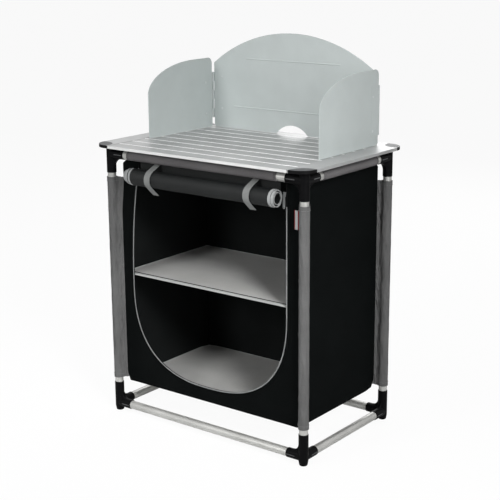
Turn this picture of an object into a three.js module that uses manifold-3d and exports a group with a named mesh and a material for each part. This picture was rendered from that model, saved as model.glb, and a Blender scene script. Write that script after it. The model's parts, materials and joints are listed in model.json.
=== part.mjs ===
// Camping cupboard: a plug-together tube frame with a fabric body, a slatted metal worktop
// and a three-panel windscreen. Millimetres, +Z up, the front faces -Y, and the origin lies
// on the floor under the middle of the worktop.

import * as THREE from 'three';
import { mergeVertices } from 'three/addons/utils/BufferGeometryUtils.js';
import Module from 'manifold-3d';

const wasm = await Module();
wasm.setup();

// Gaps and cuts
const gap = 0.3;
const overrun = 5;
const mergeDistance = 0.001;
const runningClearance = 0.08;

// Worktop
const worktopWidth = 730;
const worktopDepth = 480;
const worktopHeight = 800;
const worktopThickness = 8.5;
const slatCount = 9;
const slatWall = 1.2;
const slatJointGap = 0.8;
const slatSeam = 1;
const slatInset = 1.5;
const slatHookRise = 3.5;
const slatHookClearance = 0.5;
const beadHeight = 0.6;
const beadHalfWidth = 1.6;
const beadSetback = 4;
const profileWidth = 59;
const profileWall = 1.2;
const profileLedge = 14;
const ledgeThickness = 1.5;
const worktopCornerRadius = 46;
const capFrontLength = 55;
const capSideLength = 48;
const capBulge = 20;
const capBossRadius = 8;

// Tube frame
const tubeRadius = 12;
const tubeWall = 1.2;
const legInsetX = 33;
const legInsetY = 41;
const lowerRailHeight = 25;
const hubRise = 21;
const socketWall = 1.2;
const socketFloor = 3.5;
const socketChamfer = 0.8;
const upperSocketLength = 54;
const lowerSocketLength = 50;
const lowerLegSocketLength = 64;
const upperWebRadius = 24;
const lowerWebRadius = 21;
const webThickness = 9;
const footRadius = 11.6;
const footRounding = 4;
const footTaperHeight = 14;
const pegRadius = 4;
const pegHeight = 5;
const slotLength = 28;
const slotWidth = 2.6;
const slotDepth = 0.7;

// Fabric body
const cloth = 1.2;
const bodyInset = 24;
const bodyBottom = 97;
const sleeveBareBottom = 15;
const sleeveBareTop = 12;
const shoulderDrop = 22;
const shoulderRise = 16;
const tunnelLegSpace = 69;
const frontTunnelSlip = 12;
const boardThickness = 5;
const shelfHeight = 426;
const openingMargin = 40;
const openingBottom = 140;
const openingCurveTop = 400;
const openingDrop = 20;
const openingPower = 2.5;
const openingDraw = 20;

// Rolled door, straps and zip
const zipRadius = 1.8;
const zipOverlap = 1.5;
const rollTurns = 3;
const rollPitch = 2.7;
const rollSheet = 2;
const rollRadius = 24;
const rollDrop = 54;
const rollTailDrop = 15;
const rollLeftInset = 34;
const rollRightInset = 18;
const rollLeftStep = 8;
const rollRightStep = 2.7;
const strapWidth = 20;
const strapThickness = 1.2;
const strapLeftInset = 103;
const strapRightInset = 93;
const strapWrapShare = 0.25;
const strapLeftTail = 40;
const strapRightTail = 32;
const sliderWidth = 8;
const sliderHeight = 12;
const sliderDepth = 3.2;
const sliderStandoff = 0.3;
const sliderInset = 4;
const sliderDrop = 40;
const sliderWaistShare = 0.7;
const loopWidth = 2.4;
const loopRadius = 2.6;
const loopBore = 1.3;
const pullerLength = 37;
const pullerWidth = 7;
const pullerThickness = 1.4;
const pullerEyeRadius = 1.7;

// Windscreen
const hingeLeftInset = 79;
const hingeRightInset = 69;
const screenSetback = 36;
const sheet = 1.2;
const screenSideHeight = 192;
const screenArchRise = 98;
const screenCornerRadius = 7;
const hoseCutRadius = 72;
const hoseCutHeight = 26;
const ribRadius = 2;
const ribStandout = 1.4;
const upperRibHeight = 210;
const upperRibInset = 127;
const lowerRibHeight = 66;
const lowerRibInset = 79;
const wingHeight = 208;
const wingTipGap = 1.2;
const wingCurveLength = 200;
const wingCurveRise = 84;
const wingRearRadius = 18;
const hingeAxisInset = 1.2;
const hingeBottom = 27;
const hingeLength = 137;
const knuckleCount = 5;
const leafThickness = 0.8;
const leafWidth = 40;
const leafNotchClearance = 0.6;
const hingePinRadius = 1.5;
const rivetFromAxis = 33;
const rivetNearEnd = 14;
const rivetFarEnd = 29;
const rivetRadius = 2.2;
const rivetHeadRadius = 3.4;
const rivetHeadHeight = 0.7;
const rivetCrownShare = 0.6;

// Facets
const tubeSides = 16;
const smallSides = 8;
const knuckleSides = 12;
const rollTurnSteps = 14;
const archSteps = 20;
const arcSteps = 12;
const drawSteps = 4;
const filletSteps = 4;
const cornerSteps = 2;

// Turns
const quarterTurn = Math.PI / 2;
const halfTurn = Math.PI;
const fullTurn = 2 * Math.PI;

// Places that follow from the sizes
const halfWidth = worktopWidth / 2;
const halfDepth = worktopDepth / 2;
const worktopUnderside = worktopHeight - worktopThickness;
const hubTop = worktopUnderside - gap;
const legX = halfWidth - legInsetX;
const legY = halfDepth - legInsetY;
const upperRailHeight = hubTop - hubRise;
const boreRadius = tubeRadius + gap;
const socketRadius = boreRadius + socketWall;
const boreFloor = socketRadius + socketFloor;
const tubeStart = boreFloor + gap;
const tunnelRadius = boreRadius + cloth;
const bodyX = legX - bodyInset;
const bodyY = legY - boreRadius;
const boardX = bodyX - cloth - gap;
const boardY = bodyY - cloth - gap;
const shoulderHeight = upperRailHeight - shoulderDrop;
const tunnelLeft = -(legX - tunnelLegSpace);
const tunnelRight = legX - tunnelLegSpace - frontTunnelSlip;
const sideTunnelEnd = legY - tunnelLegSpace;
const openingHalfWidth = bodyX - openingMargin;
const openingTop = upperRailHeight - openingDrop;
const pegHoleRadius = pegRadius + gap;
const rollHeight = upperRailHeight - rollDrop;
const rollTailTop = upperRailHeight - rollTailDrop;
const rollY = -(bodyY + gap + rollSheet / 2 + rollRadius);
const zipY = -(bodyY + gap + zipRadius);
const sliderBackY = zipY - zipRadius - sliderStandoff;
const sliderX = openingHalfWidth + zipOverlap - sliderInset;
const sliderTop = upperRailHeight - sliderDrop;
const pullerPinY = -(sliderDepth + pullerThickness / 2 + gap);
const hingeX = halfWidth - (hingeLeftInset + hingeRightInset) / 2;
const screenShift = (hingeLeftInset - hingeRightInset) / 2;
const screenFaceY = halfDepth - screenSetback;
const hingeY = screenFaceY - hingeAxisInset;
const barrelRadius = hingeAxisInset + sheet + leafThickness;
const plateFromAxis = barrelRadius + leafNotchClearance;
const screenBottom = worktopHeight + gap;
const wingLength = hingeX - plateFromAxis - wingTipGap;
const backRivets = [rivetFarEnd, hingeLength - rivetNearEnd];
const wingRivets = [rivetNearEnd, hingeLength - rivetFarEnd];

// Materials
const paint = (color, roughness, metalness) =>
  new THREE.MeshStandardMaterial({ color, roughness, metalness });
const silverTube = paint(0xc4c6c6, 0.35, 0.9);
const slatMetal = paint(0xa8aaaa, 0.4, 0.85);
const screenMetal = paint(0xb0b8b8, 0.45, 0.8);
const rivetMetal = paint(0xc8cccc, 0.35, 0.9);
const blackPlastic = paint(0x1c1d1e, 0.55, 0);
const greyPlastic = paint(0x3c3d3f, 0.6, 0);
const blackCloth = paint(0x121414, 0.95, 0);
const greyCloth = paint(0x6f7172, 0.95, 0);
const darkGreyCloth = paint(0x545657, 0.95, 0);
const webbing = paint(0x8c8e8e, 0.9, 0);

const cupboard = new THREE.Group();
const X = new THREE.Vector3(1, 0, 0);
const Y = new THREE.Vector3(0, 1, 0);
const Z = new THREE.Vector3(0, 0, 1);

// Solids: every geometry that leaves these functions is closed, with its faces pointing out.

function outward(geometry) {
  const bare = geometry.clone();
  bare.deleteAttribute('normal');
  bare.deleteAttribute('uv');
  const solid = mergeVertices(bare, mergeDistance);
  const p = solid.getAttribute('position');
  const merged = solid.getIndex();
  const corner = [new THREE.Vector3(), new THREE.Vector3(), new THREE.Vector3()];
  const triangles = [];
  let volume = 0;
  for (let i = 0; i < merged.count; i += 3) {
    const [a, b, c] = [merged.getX(i), merged.getX(i + 1), merged.getX(i + 2)];
    if (a !== b && b !== c && c !== a) {
      triangles.push([a, b, c]);
      [a, b, c].forEach((v, k) => corner[k].fromBufferAttribute(p, v));
      volume += corner[0].dot(corner[1].cross(corner[2]));
    }
  }
  solid.setIndex(triangles.flatMap(([a, b, c]) => (volume < 0 ? [b, a, c] : [a, b, c])));
  return solid;
}

function toManifold(geometry) {
  const solid = outward(geometry);
  const vertProperties = new Float32Array(solid.getAttribute('position').array);
  const triVerts = new Uint32Array(solid.getIndex().array);
  return new wasm.Manifold(new wasm.Mesh({ numProp: 3, vertProperties, triVerts }));
}

function fromManifold(manifold) {
  const { vertProperties, triVerts } = manifold.getMesh();
  const geometry = new THREE.BufferGeometry();
  geometry.setAttribute('position', new THREE.BufferAttribute(new Float32Array(vertProperties), 3));
  geometry.setIndex(new THREE.BufferAttribute(new Uint32Array(triVerts), 1));
  return geometry;
}

// Joins the first list of geometries and cuts the second list out of them.
function carve(added, removed = []) {
  let solid = toManifold(added[0]);
  for (const geometry of added.slice(1)) {
    solid = solid.add(toManifold(geometry));
  }
  for (const geometry of removed) {
    solid = solid.subtract(toManifold(geometry));
  }
  return fromManifold(solid);
}

function mirrored(geometry, signX, signY) {
  const copy = geometry.clone();
  copy.scale(signX, signY, 1);
  return outward(copy);
}

function moved(geometry, x, y, z) {
  return geometry.clone().translate(x, y, z);
}

// Turns a solid that stands on Z so that it runs along X or Y instead.
function along(axis, geometry) {
  const turned = geometry.clone();
  if (axis === X) {
    turned.rotateY(quarterTurn);
  }
  if (axis === Y) {
    turned.rotateX(-quarterTurn);
  }
  return turned;
}

// A solid of revolution about Z from a profile of [radius, height] points.
function revolve(profile, sides) {
  const points = profile.map(([r, z]) => new THREE.Vector2(r, z));
  return outward(new THREE.LatheGeometry(points, sides).rotateX(quarterTurn));
}

function rod(radius, from, to, sides, chamfer = 0) {
  if (chamfer === 0) {
    return revolve([[0, from], [radius, from], [radius, to], [0, to]], sides);
  }
  const profile = [[0, from], [radius, from], [radius, to - chamfer], [radius - chamfer, to], [0, to]];
  return revolve(profile, sides);
}

function pipe(inner, outer, from, to, sides) {
  return revolve([[inner, from], [outer, from], [outer, to], [inner, to], [inner, from]], sides);
}

// Shapes are drawn in the plane across the axis: X runs with (y, z), Y with (x, z), Z with (x, y).
const planes = new Map([
  [X, new THREE.Matrix4().makeBasis(Y, Z, X)],
  [Y, new THREE.Matrix4().makeBasis(X, Z, Y)],
  [Z, new THREE.Matrix4()],
]);

function prism(axis, shape, from, to) {
  const geometry = new THREE.ExtrudeGeometry(shape, { depth: to - from, bevelEnabled: false });
  geometry.translate(0, 0, from);
  geometry.applyMatrix4(planes.get(axis));
  return outward(geometry);
}

function polygon(points) {
  return new THREE.Shape(points.map(([u, v]) => new THREE.Vector2(u, v)));
}

function block(x0, x1, y0, y1, z0, z1) {
  return prism(Z, polygon([[x0, y0], [x1, y0], [x1, y1], [x0, y1]]), z0, z1);
}

// Runs an outline on along part of an ellipse, in straight steps.
function arc(path, u, v, radiusU, radiusV, from, to, steps) {
  for (let i = 0; i <= steps; i += 1) {
    const turn = from + (to - from) * (i / steps);
    path.lineTo(u + radiusU * Math.cos(turn), v + radiusV * Math.sin(turn));
  }
}

function hole(u, v, radius) {
  const path = new THREE.Path();
  path.moveTo(u + radius, v);
  const step = fullTurn / smallSides;
  arc(path, u, v, radius, radius, -step, step - fullTurn, smallSides - 2);
  return path;
}

function add(name, geometry, material, x = 0, y = 0, z = 0) {
  const mesh = new THREE.Mesh(geometry, material);
  mesh.name = name;
  mesh.position.set(x, y, z);
  cupboard.add(mesh);
  return mesh;
}

const corners = [
  ['front_left', -1, -1],
  ['front_right', 1, -1],
  ['back_left', -1, 1],
  ['back_right', 1, 1],
];

// Corner mouldings: drawn with the rails running towards +X and +Y from the leg's axis at rail
// height, and mirrored into place.

function quarterWeb(axis, radius, up) {
  const reach = socketRadius + radius;
  const shape = new THREE.Shape();
  shape.moveTo(0, 0);
  shape.lineTo(reach, 0);
  shape.lineTo(reach, socketRadius);
  arc(shape, reach, reach, radius, radius, -quarterTurn, -halfTurn, filletSteps);
  shape.lineTo(0, reach);
  const geometry = prism(axis, shape, -webThickness / 2, webThickness / 2);
  geometry.scale(1, 1, up);
  return outward(geometry);
}

function railSocket(axis, length) {
  return along(axis, rod(socketRadius, 0, length, tubeSides, socketChamfer));
}

function railBore(axis, length) {
  return along(axis, rod(boreRadius, boreFloor, length + overrun, tubeSides));
}

// The long shallow slot on the outer face of each rail socket.
function railSlot(axis, socketLength) {
  const middle = (boreFloor + socketLength) / 2;
  const from = middle - slotLength / 2;
  const to = middle + slotLength / 2;
  const face = -socketRadius;
  if (axis === X) {
    return block(from, to, face - overrun, face + slotDepth, -slotWidth / 2, slotWidth / 2);
  }
  return block(face - overrun, face + slotDepth, from, to, -slotWidth / 2, slotWidth / 2);
}

function upperCorner() {
  const hub = revolve([
    [0, -upperSocketLength],
    [socketRadius - socketChamfer, -upperSocketLength],
    [socketRadius, -upperSocketLength + socketChamfer],
    [socketRadius, hubRise - socketChamfer],
    [socketRadius - socketChamfer, hubRise],
    [0, hubRise],
  ], tubeSides);
  const peg = rod(pegRadius, 0, hubRise + pegHeight, smallSides, socketChamfer);
  return carve([
    hub,
    peg,
    railSocket(X, upperSocketLength),
    railSocket(Y, upperSocketLength),
    quarterWeb(X, upperWebRadius, -1),
    quarterWeb(Y, upperWebRadius, -1),
  ], [
    railBore(X, upperSocketLength),
    railBore(Y, upperSocketLength),
    rod(boreRadius, -upperSocketLength - overrun, -boreFloor, tubeSides),
    railSlot(X, upperSocketLength),
    railSlot(Y, upperSocketLength),
  ]);
}

function lowerCorner() {
  const floor = -lowerRailHeight;
  const profile = [[0, floor]];
  for (let i = 0; i <= filletSteps; i += 1) {
    const turn = quarterTurn * (i / filletSteps);
    profile.push([
      footRadius - footRounding + footRounding * Math.sin(turn),
      floor + footRounding - footRounding * Math.cos(turn),
    ]);
  }
  profile.push(
    [socketRadius, floor + footTaperHeight],
    [socketRadius, lowerLegSocketLength - socketChamfer],
    [socketRadius - socketChamfer, lowerLegSocketLength],
    [0, lowerLegSocketLength],
  );
  return carve([
    revolve(profile, tubeSides),
    railSocket(X, lowerSocketLength),
    railSocket(Y, lowerSocketLength),
    quarterWeb(X, lowerWebRadius, 1),
    quarterWeb(Y, lowerWebRadius, 1),
  ], [
    railBore(X, lowerSocketLength),
    railBore(Y, lowerSocketLength),
    rod(boreRadius, boreFloor, lowerLegSocketLength + overrun, tubeSides),
    railSlot(X, lowerSocketLength),
    railSlot(Y, lowerSocketLength),
  ]);
}

function addFrame() {
  const upper = upperCorner();
  const lower = lowerCorner();
  const legFrom = lowerRailHeight + tubeStart;
  const legTo = upperRailHeight - tubeStart;
  const legTube = pipe(tubeRadius - tubeWall, tubeRadius, 0, legTo - legFrom, tubeSides);
  for (const [place, signX, signY] of corners) {
    const x = signX * legX;
    const y = signY * legY;
    add(`upper_corner_${place}`, mirrored(upper, -signX, -signY), blackPlastic, x, y, upperRailHeight);
    add(`lower_corner_${place}`, mirrored(lower, -signX, -signY), blackPlastic, x, y, lowerRailHeight);
    add(`leg_tube_${place}`, legTube, silverTube, x, y, legFrom);
  }
  const longReach = legX - tubeStart;
  const shortReach = legY - tubeStart;
  const longTube = pipe(tubeRadius - tubeWall, tubeRadius, -longReach, longReach, tubeSides);
  const shortTube = pipe(tubeRadius - tubeWall, tubeRadius, -shortReach, shortReach, tubeSides);
  for (const [level, z] of [['upper', upperRailHeight], ['lower', lowerRailHeight]]) {
    for (const [side, sign] of [['front', -1], ['back', 1]]) {
      add(`${level}_rail_${side}`, longTube, silverTube, 0, sign * legY, z).rotation.y = quarterTurn;
    }
    for (const [side, sign] of [['left', -1], ['right', 1]]) {
      add(`${level}_rail_${side}`, shortTube, silverTube, sign * legX, 0, z).rotation.x = quarterTurn;
    }
  }
}

// Fabric body: each wall is sewn to a tunnel round its upper rail, and a sleeve on each leg
// reaches the body's corner with a flat web.

function sleeve(height) {
  const cornerX = -(bodyInset - gap);
  const cornerY = -(boreRadius - gap);
  const reach = Math.hypot(cornerX, cornerY);
  const webStart = boreRadius + cloth / 2;
  const web = block(webStart, reach, -cloth / 2, cloth / 2, 0, height);
  web.rotateZ(Math.atan2(cornerY, cornerX));
  return carve([pipe(boreRadius, tunnelRadius, 0, height, tubeSides), web]);
}

// A wall's outline in (across, z), with its upper corners cut round down to the shoulders.
function wallOutline(halfSpan, tunnelFrom, tunnelTo) {
  const shape = new THREE.Shape();
  const top = shoulderHeight + shoulderRise;
  shape.moveTo(-halfSpan, bodyBottom);
  shape.lineTo(halfSpan, bodyBottom);
  shape.lineTo(halfSpan, shoulderHeight);
  arc(shape, tunnelTo, shoulderHeight, halfSpan - tunnelTo, shoulderRise, 0, quarterTurn, filletSteps);
  shape.lineTo(tunnelTo, upperRailHeight);
  shape.lineTo(tunnelFrom, upperRailHeight);
  shape.lineTo(tunnelFrom, top);
  arc(shape, tunnelFrom, shoulderHeight, halfSpan + tunnelFrom, shoulderRise,
    quarterTurn, halfTurn, filletSteps);
  return shape;
}

// The door opening's edge as [x, z] points: sides that run into a superellipse. The rolled door
// hangs from the seam and draws the left side in towards its top.
function openingEdge(steps) {
  const points = [];
  const drop = openingCurveTop - openingBottom;
  for (let i = 0; i < drawSteps; i += 1) {
    const share = i / drawSteps;
    const x = -openingHalfWidth + openingDraw * (1 - share) ** 2;
    points.push([x, openingTop + (openingCurveTop - openingTop) * share]);
  }
  for (let i = 0; i <= steps; i += 1) {
    const turn = halfTurn * (i / steps);
    const u = Math.cos(turn);
    const v = Math.sin(turn);
    const x = -Math.sign(u) * Math.abs(u) ** (2 / openingPower) * openingHalfWidth;
    points.push([x, openingCurveTop - v ** (2 / openingPower) * drop]);
  }
  points.push([openingHalfWidth, openingTop]);
  return points;
}

function longWall(sign, withOpening) {
  const shape = wallOutline(bodyX, tunnelLeft, tunnelRight);
  if (withOpening) {
    const edge = openingEdge(2 * arcSteps).reverse().map(([x, z]) => new THREE.Vector2(x, z));
    shape.holes.push(new THREE.Path(edge));
  }
  const wall = prism(Y, shape, bodyY - cloth, bodyY);
  const tunnel = along(X, pipe(boreRadius, tunnelRadius, tunnelLeft, tunnelRight, tubeSides));
  const bore = along(X, rod(boreRadius, -worktopWidth, worktopWidth, tubeSides));
  const wallAndTunnel = carve([wall, moved(tunnel, 0, legY, upperRailHeight)],
    [moved(bore, 0, legY, upperRailHeight)]);
  return mirrored(wallAndTunnel, 1, sign);
}

// A side wall stands further in than its rail, so it leans out over the shoulder to the tunnel.
function shortWall(sign) {
  const innerX = bodyX - cloth;
  const seamX = legX - boreRadius;
  const section = polygon([
    [innerX, bodyBottom],
    [bodyX, bodyBottom],
    [bodyX, shoulderHeight],
    [seamX, upperRailHeight],
    [seamX - cloth, upperRailHeight],
    [innerX, shoulderHeight],
  ]);
  const lean = prism(Y, section, -boardY, boardY);
  const side = wallOutline(boardY + gap, -sideTunnelEnd, sideTunnelEnd);
  const outline = prism(X, side, innerX - overrun, legX);
  const tunnel = along(Y, pipe(boreRadius, tunnelRadius, -sideTunnelEnd, sideTunnelEnd, tubeSides));
  const bore = along(Y, rod(boreRadius, -worktopDepth, worktopDepth, tubeSides));
  const trimmed = fromManifold(toManifold(lean).intersect(toManifold(outline)));
  const wallAndTunnel = carve([trimmed, moved(tunnel, legX, 0, upperRailHeight)],
    [moved(bore, legX, 0, upperRailHeight)]);
  return mirrored(wallAndTunnel, sign, 1);
}

// A stiffened board in a cloth cover, with a round bound edge at the front.
function board(top) {
  const radius = boardThickness / 2;
  const shape = new THREE.Shape();
  shape.moveTo(boardY, top - boardThickness);
  shape.lineTo(boardY, top);
  shape.lineTo(-boardY + radius, top);
  arc(shape, -boardY + radius, top - radius, radius, radius, quarterTurn, 3 * quarterTurn, filletSteps);
  return prism(X, shape, -boardX, boardX);
}

function addBody() {
  const sleeveFrom = lowerRailHeight + lowerLegSocketLength + sleeveBareBottom;
  const sleeveTo = upperRailHeight - upperSocketLength - sleeveBareTop;
  const legSleeve = sleeve(sleeveTo - sleeveFrom);
  for (const [place, signX, signY] of corners) {
    const x = signX * legX;
    const y = signY * legY;
    add(`leg_sleeve_${place}`, mirrored(legSleeve, signX, signY), greyCloth, x, y, sleeveFrom);
  }
  add('front_wall', longWall(-1, true), blackCloth);
  add('back_wall', longWall(1, false), blackCloth);
  add('left_wall', shortWall(-1), blackCloth);
  add('right_wall', shortWall(1), blackCloth);
  add('bottom_board', board(bodyBottom + boardThickness), greyCloth);
  add('middle_shelf', board(shelfHeight), greyCloth);
}

// Zip along the opening's edge, its slider and the puller that hangs on it.

function zipTape() {
  const points = openingEdge(2 * arcSteps).map(([x, z], i, all) => {
    const before = all[Math.max(i - 1, 0)];
    const after = all[Math.min(i + 1, all.length - 1)];
    const away = new THREE.Vector2(before[1] - after[1], after[0] - before[0]).normalize();
    const top = i === 0 || i === all.length - 1 ? gap : 0;
    return new THREE.Vector3(x - away.x * zipOverlap, zipY, z - away.y * zipOverlap - top);
  });
  points[points.length - 1].x = openingHalfWidth + zipOverlap;
  const path = new THREE.CatmullRomCurve3(points, false, 'centripetal');
  const section = new THREE.Shape(hole(0, 0, zipRadius).getPoints());
  return outward(new THREE.ExtrudeGeometry(section, { steps: 3 * arcSteps, extrudePath: path }));
}

// The slider's body with the loop that carries the puller, drawn about its upper edge.
function zipSlider() {
  const half = sliderWidth / 2;
  const waist = half * sliderWaistShare;
  const shape = polygon([
    [-half, 0],
    [-waist, -sliderHeight],
    [waist, -sliderHeight],
    [half, 0],
  ]);
  const body = prism(Y, shape, -sliderDepth, 0);
  const loopZ = -sliderHeight / 2;
  const arch = along(X, rod(loopRadius, -loopWidth / 2, loopWidth / 2, smallSides));
  const eye = along(X, rod(loopBore, -sliderWidth, sliderWidth, smallSides));
  return carve([body, moved(arch, 0, pullerPinY, loopZ)], [moved(eye, 0, pullerPinY, loopZ)]);
}

// A flat tongue with an eye at its lower end. Two cheeks at its top carry a pin through the loop.
function zipPuller() {
  const half = pullerWidth / 2;
  const shape = new THREE.Shape();
  shape.moveTo(half, 0);
  shape.lineTo(-half, 0);
  arc(shape, 0, half - pullerLength, half, half, -halfTurn, 0, filletSteps);
  shape.holes.push(hole(0, half - pullerLength, pullerEyeRadius));
  const tongue = prism(Y, shape, -pullerThickness / 2, pullerThickness / 2);
  const slotHalf = loopWidth / 2 + gap;
  const clear = loopRadius + gap;
  const notch = block(-slotHalf, slotHalf, -overrun, overrun, -clear, overrun);
  const pin = along(X, rod(loopBore - 2 * runningClearance, -half, half, smallSides));
  return carve([fromManifold(toManifold(tongue).subtract(toManifold(notch))), pin]);
}

// The rolled door: one sheet that hangs from the wall over the opening and winds inwards, its
// ends stepping out turn by turn.
function doorRoll() {
  const steps = rollTurnSteps * rollTurns;
  const rows = [{ y: rollY + rollRadius, z: rollTailTop, ny: 1, nz: 0, turn: 0 }];
  for (let i = 0; i <= steps; i += 1) {
    const turn = i / rollTurnSteps;
    const angle = fullTurn * turn;
    const radius = rollRadius - rollPitch * turn;
    const ny = Math.cos(angle);
    const nz = -Math.sin(angle);
    rows.push({ y: rollY + radius * ny, z: rollHeight + radius * nz, ny, nz, turn });
  }
  const positions = [];
  const half = rollSheet / 2;
  for (const { y, z, ny, nz, turn } of rows) {
    const left = rollLeftInset - openingHalfWidth - rollLeftStep * turn;
    const right = openingHalfWidth - rollRightInset + rollRightStep * turn;
    for (const [x, side] of [[left, half], [right, half], [right, -half], [left, -half]]) {
      positions.push(x, y + side * ny, z + side * nz);
    }
  }
  const index = [0, 1, 2, 0, 2, 3];
  for (let i = 0; i < rows.length - 1; i += 1) {
    for (let k = 0; k < 4; k += 1) {
      const a = 4 * i + k;
      const b = 4 * i + ((k + 1) % 4);
      index.push(a, a + 4, b, b, a + 4, b + 4);
    }
  }
  const last = 4 * (rows.length - 1);
  index.push(last, last + 2, last + 1, last, last + 3, last + 2);
  const geometry = new THREE.BufferGeometry();
  geometry.setAttribute('position', new THREE.Float32BufferAttribute(positions, 3));
  geometry.setIndex(index);
  return outward(geometry);
}

// A point off a circle round the roll: out to the radius at a turn, then a run along the tangent.
function offRoll(radius, turn, run) {
  const y = rollY + radius * Math.cos(turn) - run * Math.sin(turn);
  return [y, rollHeight + radius * Math.sin(turn) + run * Math.cos(turn)];
}

// A strap: from the seam over the opening it slants down to the front of the roll and goes round
// under it, and its tail stands off straight.
function strap(x, tail) {
  const inner = rollRadius + rollSheet / 2 + gap;
  const outer = inner + strapThickness;
  const seamOut = rollRadius - rollSheet / 2 - gap;
  const seamUp = rollTailTop - rollHeight;
  const seamDistance = Math.hypot(seamOut, seamUp);
  const start = Math.atan2(seamUp, seamOut) + Math.acos(inner / seamDistance);
  const end = halfTurn * (1 + strapWrapShare);
  const slant = Math.sqrt(seamDistance ** 2 - inner ** 2);
  const shape = new THREE.Shape();
  shape.moveTo(...offRoll(inner, start, -slant));
  shape.lineTo(...offRoll(outer, start, -slant));
  arc(shape, rollY, rollHeight, outer, outer, start, end, arcSteps);
  shape.lineTo(...offRoll(outer, end, tail));
  shape.lineTo(...offRoll(inner, end, tail));
  arc(shape, rollY, rollHeight, inner, inner, end, start, arcSteps);
  return prism(X, shape, x - strapWidth / 2, x + strapWidth / 2);
}

function addDoor() {
  add('door_zip', zipTape(), darkGreyCloth);
  add('door_roll', doorRoll(), blackCloth);
  add('door_strap_left', strap(strapLeftInset - openingHalfWidth, strapLeftTail), webbing);
  add('door_strap_right', strap(openingHalfWidth - strapRightInset, strapRightTail), webbing);
  add('zip_slider', zipSlider(), rivetMetal, sliderX, sliderBackY, sliderTop);
  add('zip_puller', zipPuller(), rivetMetal, sliderX, sliderBackY + pullerPinY,
    sliderTop - sliderHeight / 2);
}

// Worktop: slats that hook into each other between two side profiles, with plastic corners.

function slat(index) {
  const pitch = worktopDepth / slatCount;
  const isFirst = index === 0;
  const isLast = index === slatCount - 1;
  const top = worktopHeight - beadHeight;
  const bottom = worktopUnderside + ledgeThickness + gap;
  const ceiling = top - slatWall;
  const front = -halfDepth + index * pitch;
  const rear = front + pitch - (isLast ? 0 : slatJointGap);
  const inset = isFirst ? 0 : slatInset;
  const flangeBottom = isFirst ? worktopUnderside : bottom + slatWall + slatHookClearance;
  const rearBottom = isLast ? worktopUnderside : bottom;
  const bead = rear - beadSetback;
  const shape = new THREE.Shape();
  shape.moveTo(front, top);
  arc(shape, bead, top, beadHalfWidth, beadHeight, halfTurn, 0, filletSteps);
  shape.lineTo(rear, top);
  if (!isLast) {
    const hook = rear + slatJointGap + slatInset + slatWall + slatHookClearance;
    shape.lineTo(rear, bottom + slatWall);
    shape.lineTo(hook, bottom + slatWall);
    shape.lineTo(hook, bottom + slatHookRise);
    shape.lineTo(hook + slatWall, bottom + slatHookRise);
    shape.lineTo(hook + slatWall, bottom);
  } else {
    shape.lineTo(rear, rearBottom);
  }
  shape.lineTo(rear - slatWall, rearBottom);
  shape.lineTo(rear - slatWall, ceiling);
  shape.lineTo(front + inset + slatWall, ceiling);
  shape.lineTo(front + inset + slatWall, flangeBottom);
  shape.lineTo(front + inset, flangeBottom);
  if (!isFirst) {
    shape.lineTo(front + inset, ceiling);
    shape.lineTo(front, ceiling);
  }
  const end = halfWidth - profileWidth - slatSeam / 2;
  return prism(X, shape, -end, end);
}

// A corner cap's outline with the worktop's corner at (0, 0) and the worktop towards +X and +Y:
// the rounded outer wall, and an inner arc that bulges over the leg.
function capOutline(clearance) {
  const chord = Math.hypot(capFrontLength, capSideLength);
  const radius = (chord * chord / 4 + capBulge * capBulge) / (2 * capBulge);
  const depth = radius - capBulge;
  const centreX = capFrontLength / 2 - (depth * capSideLength) / chord;
  const centreY = capSideLength / 2 - (depth * capFrontLength) / chord;
  const from = Math.atan2(capSideLength - centreY, -centreX);
  const to = Math.atan2(-centreY, capFrontLength - centreX);
  const shape = new THREE.Shape();
  if (clearance > 0) {
    shape.moveTo(centreX + radius + clearance, centreY);
    arc(shape, centreX, centreY, radius + clearance, radius + clearance, 0, fullTurn, 3 * arcSteps);
    return shape;
  }
  shape.moveTo(capFrontLength, 0);
  shape.lineTo(worktopCornerRadius, 0);
  arc(shape, worktopCornerRadius, worktopCornerRadius, worktopCornerRadius, worktopCornerRadius,
    -quarterTurn, -halfTurn, arcSteps);
  arc(shape, centreX, centreY, radius, radius, from, to, arcSteps);
  return shape;
}

function cornerCap() {
  const lens = prism(Z, capOutline(0), worktopUnderside, worktopHeight);
  const bossTop = worktopHeight - profileWall - gap;
  const boss = rod(capBossRadius, worktopUnderside, bossTop, smallSides);
  const bore = rod(pegHoleRadius, worktopUnderside - overrun, hubTop + pegHeight + 2 * gap, smallSides);
  return carve([lens, moved(boss, legInsetX, legInsetY, 0)], [moved(bore, legInsetX, legInsetY, 0)]);
}

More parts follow.
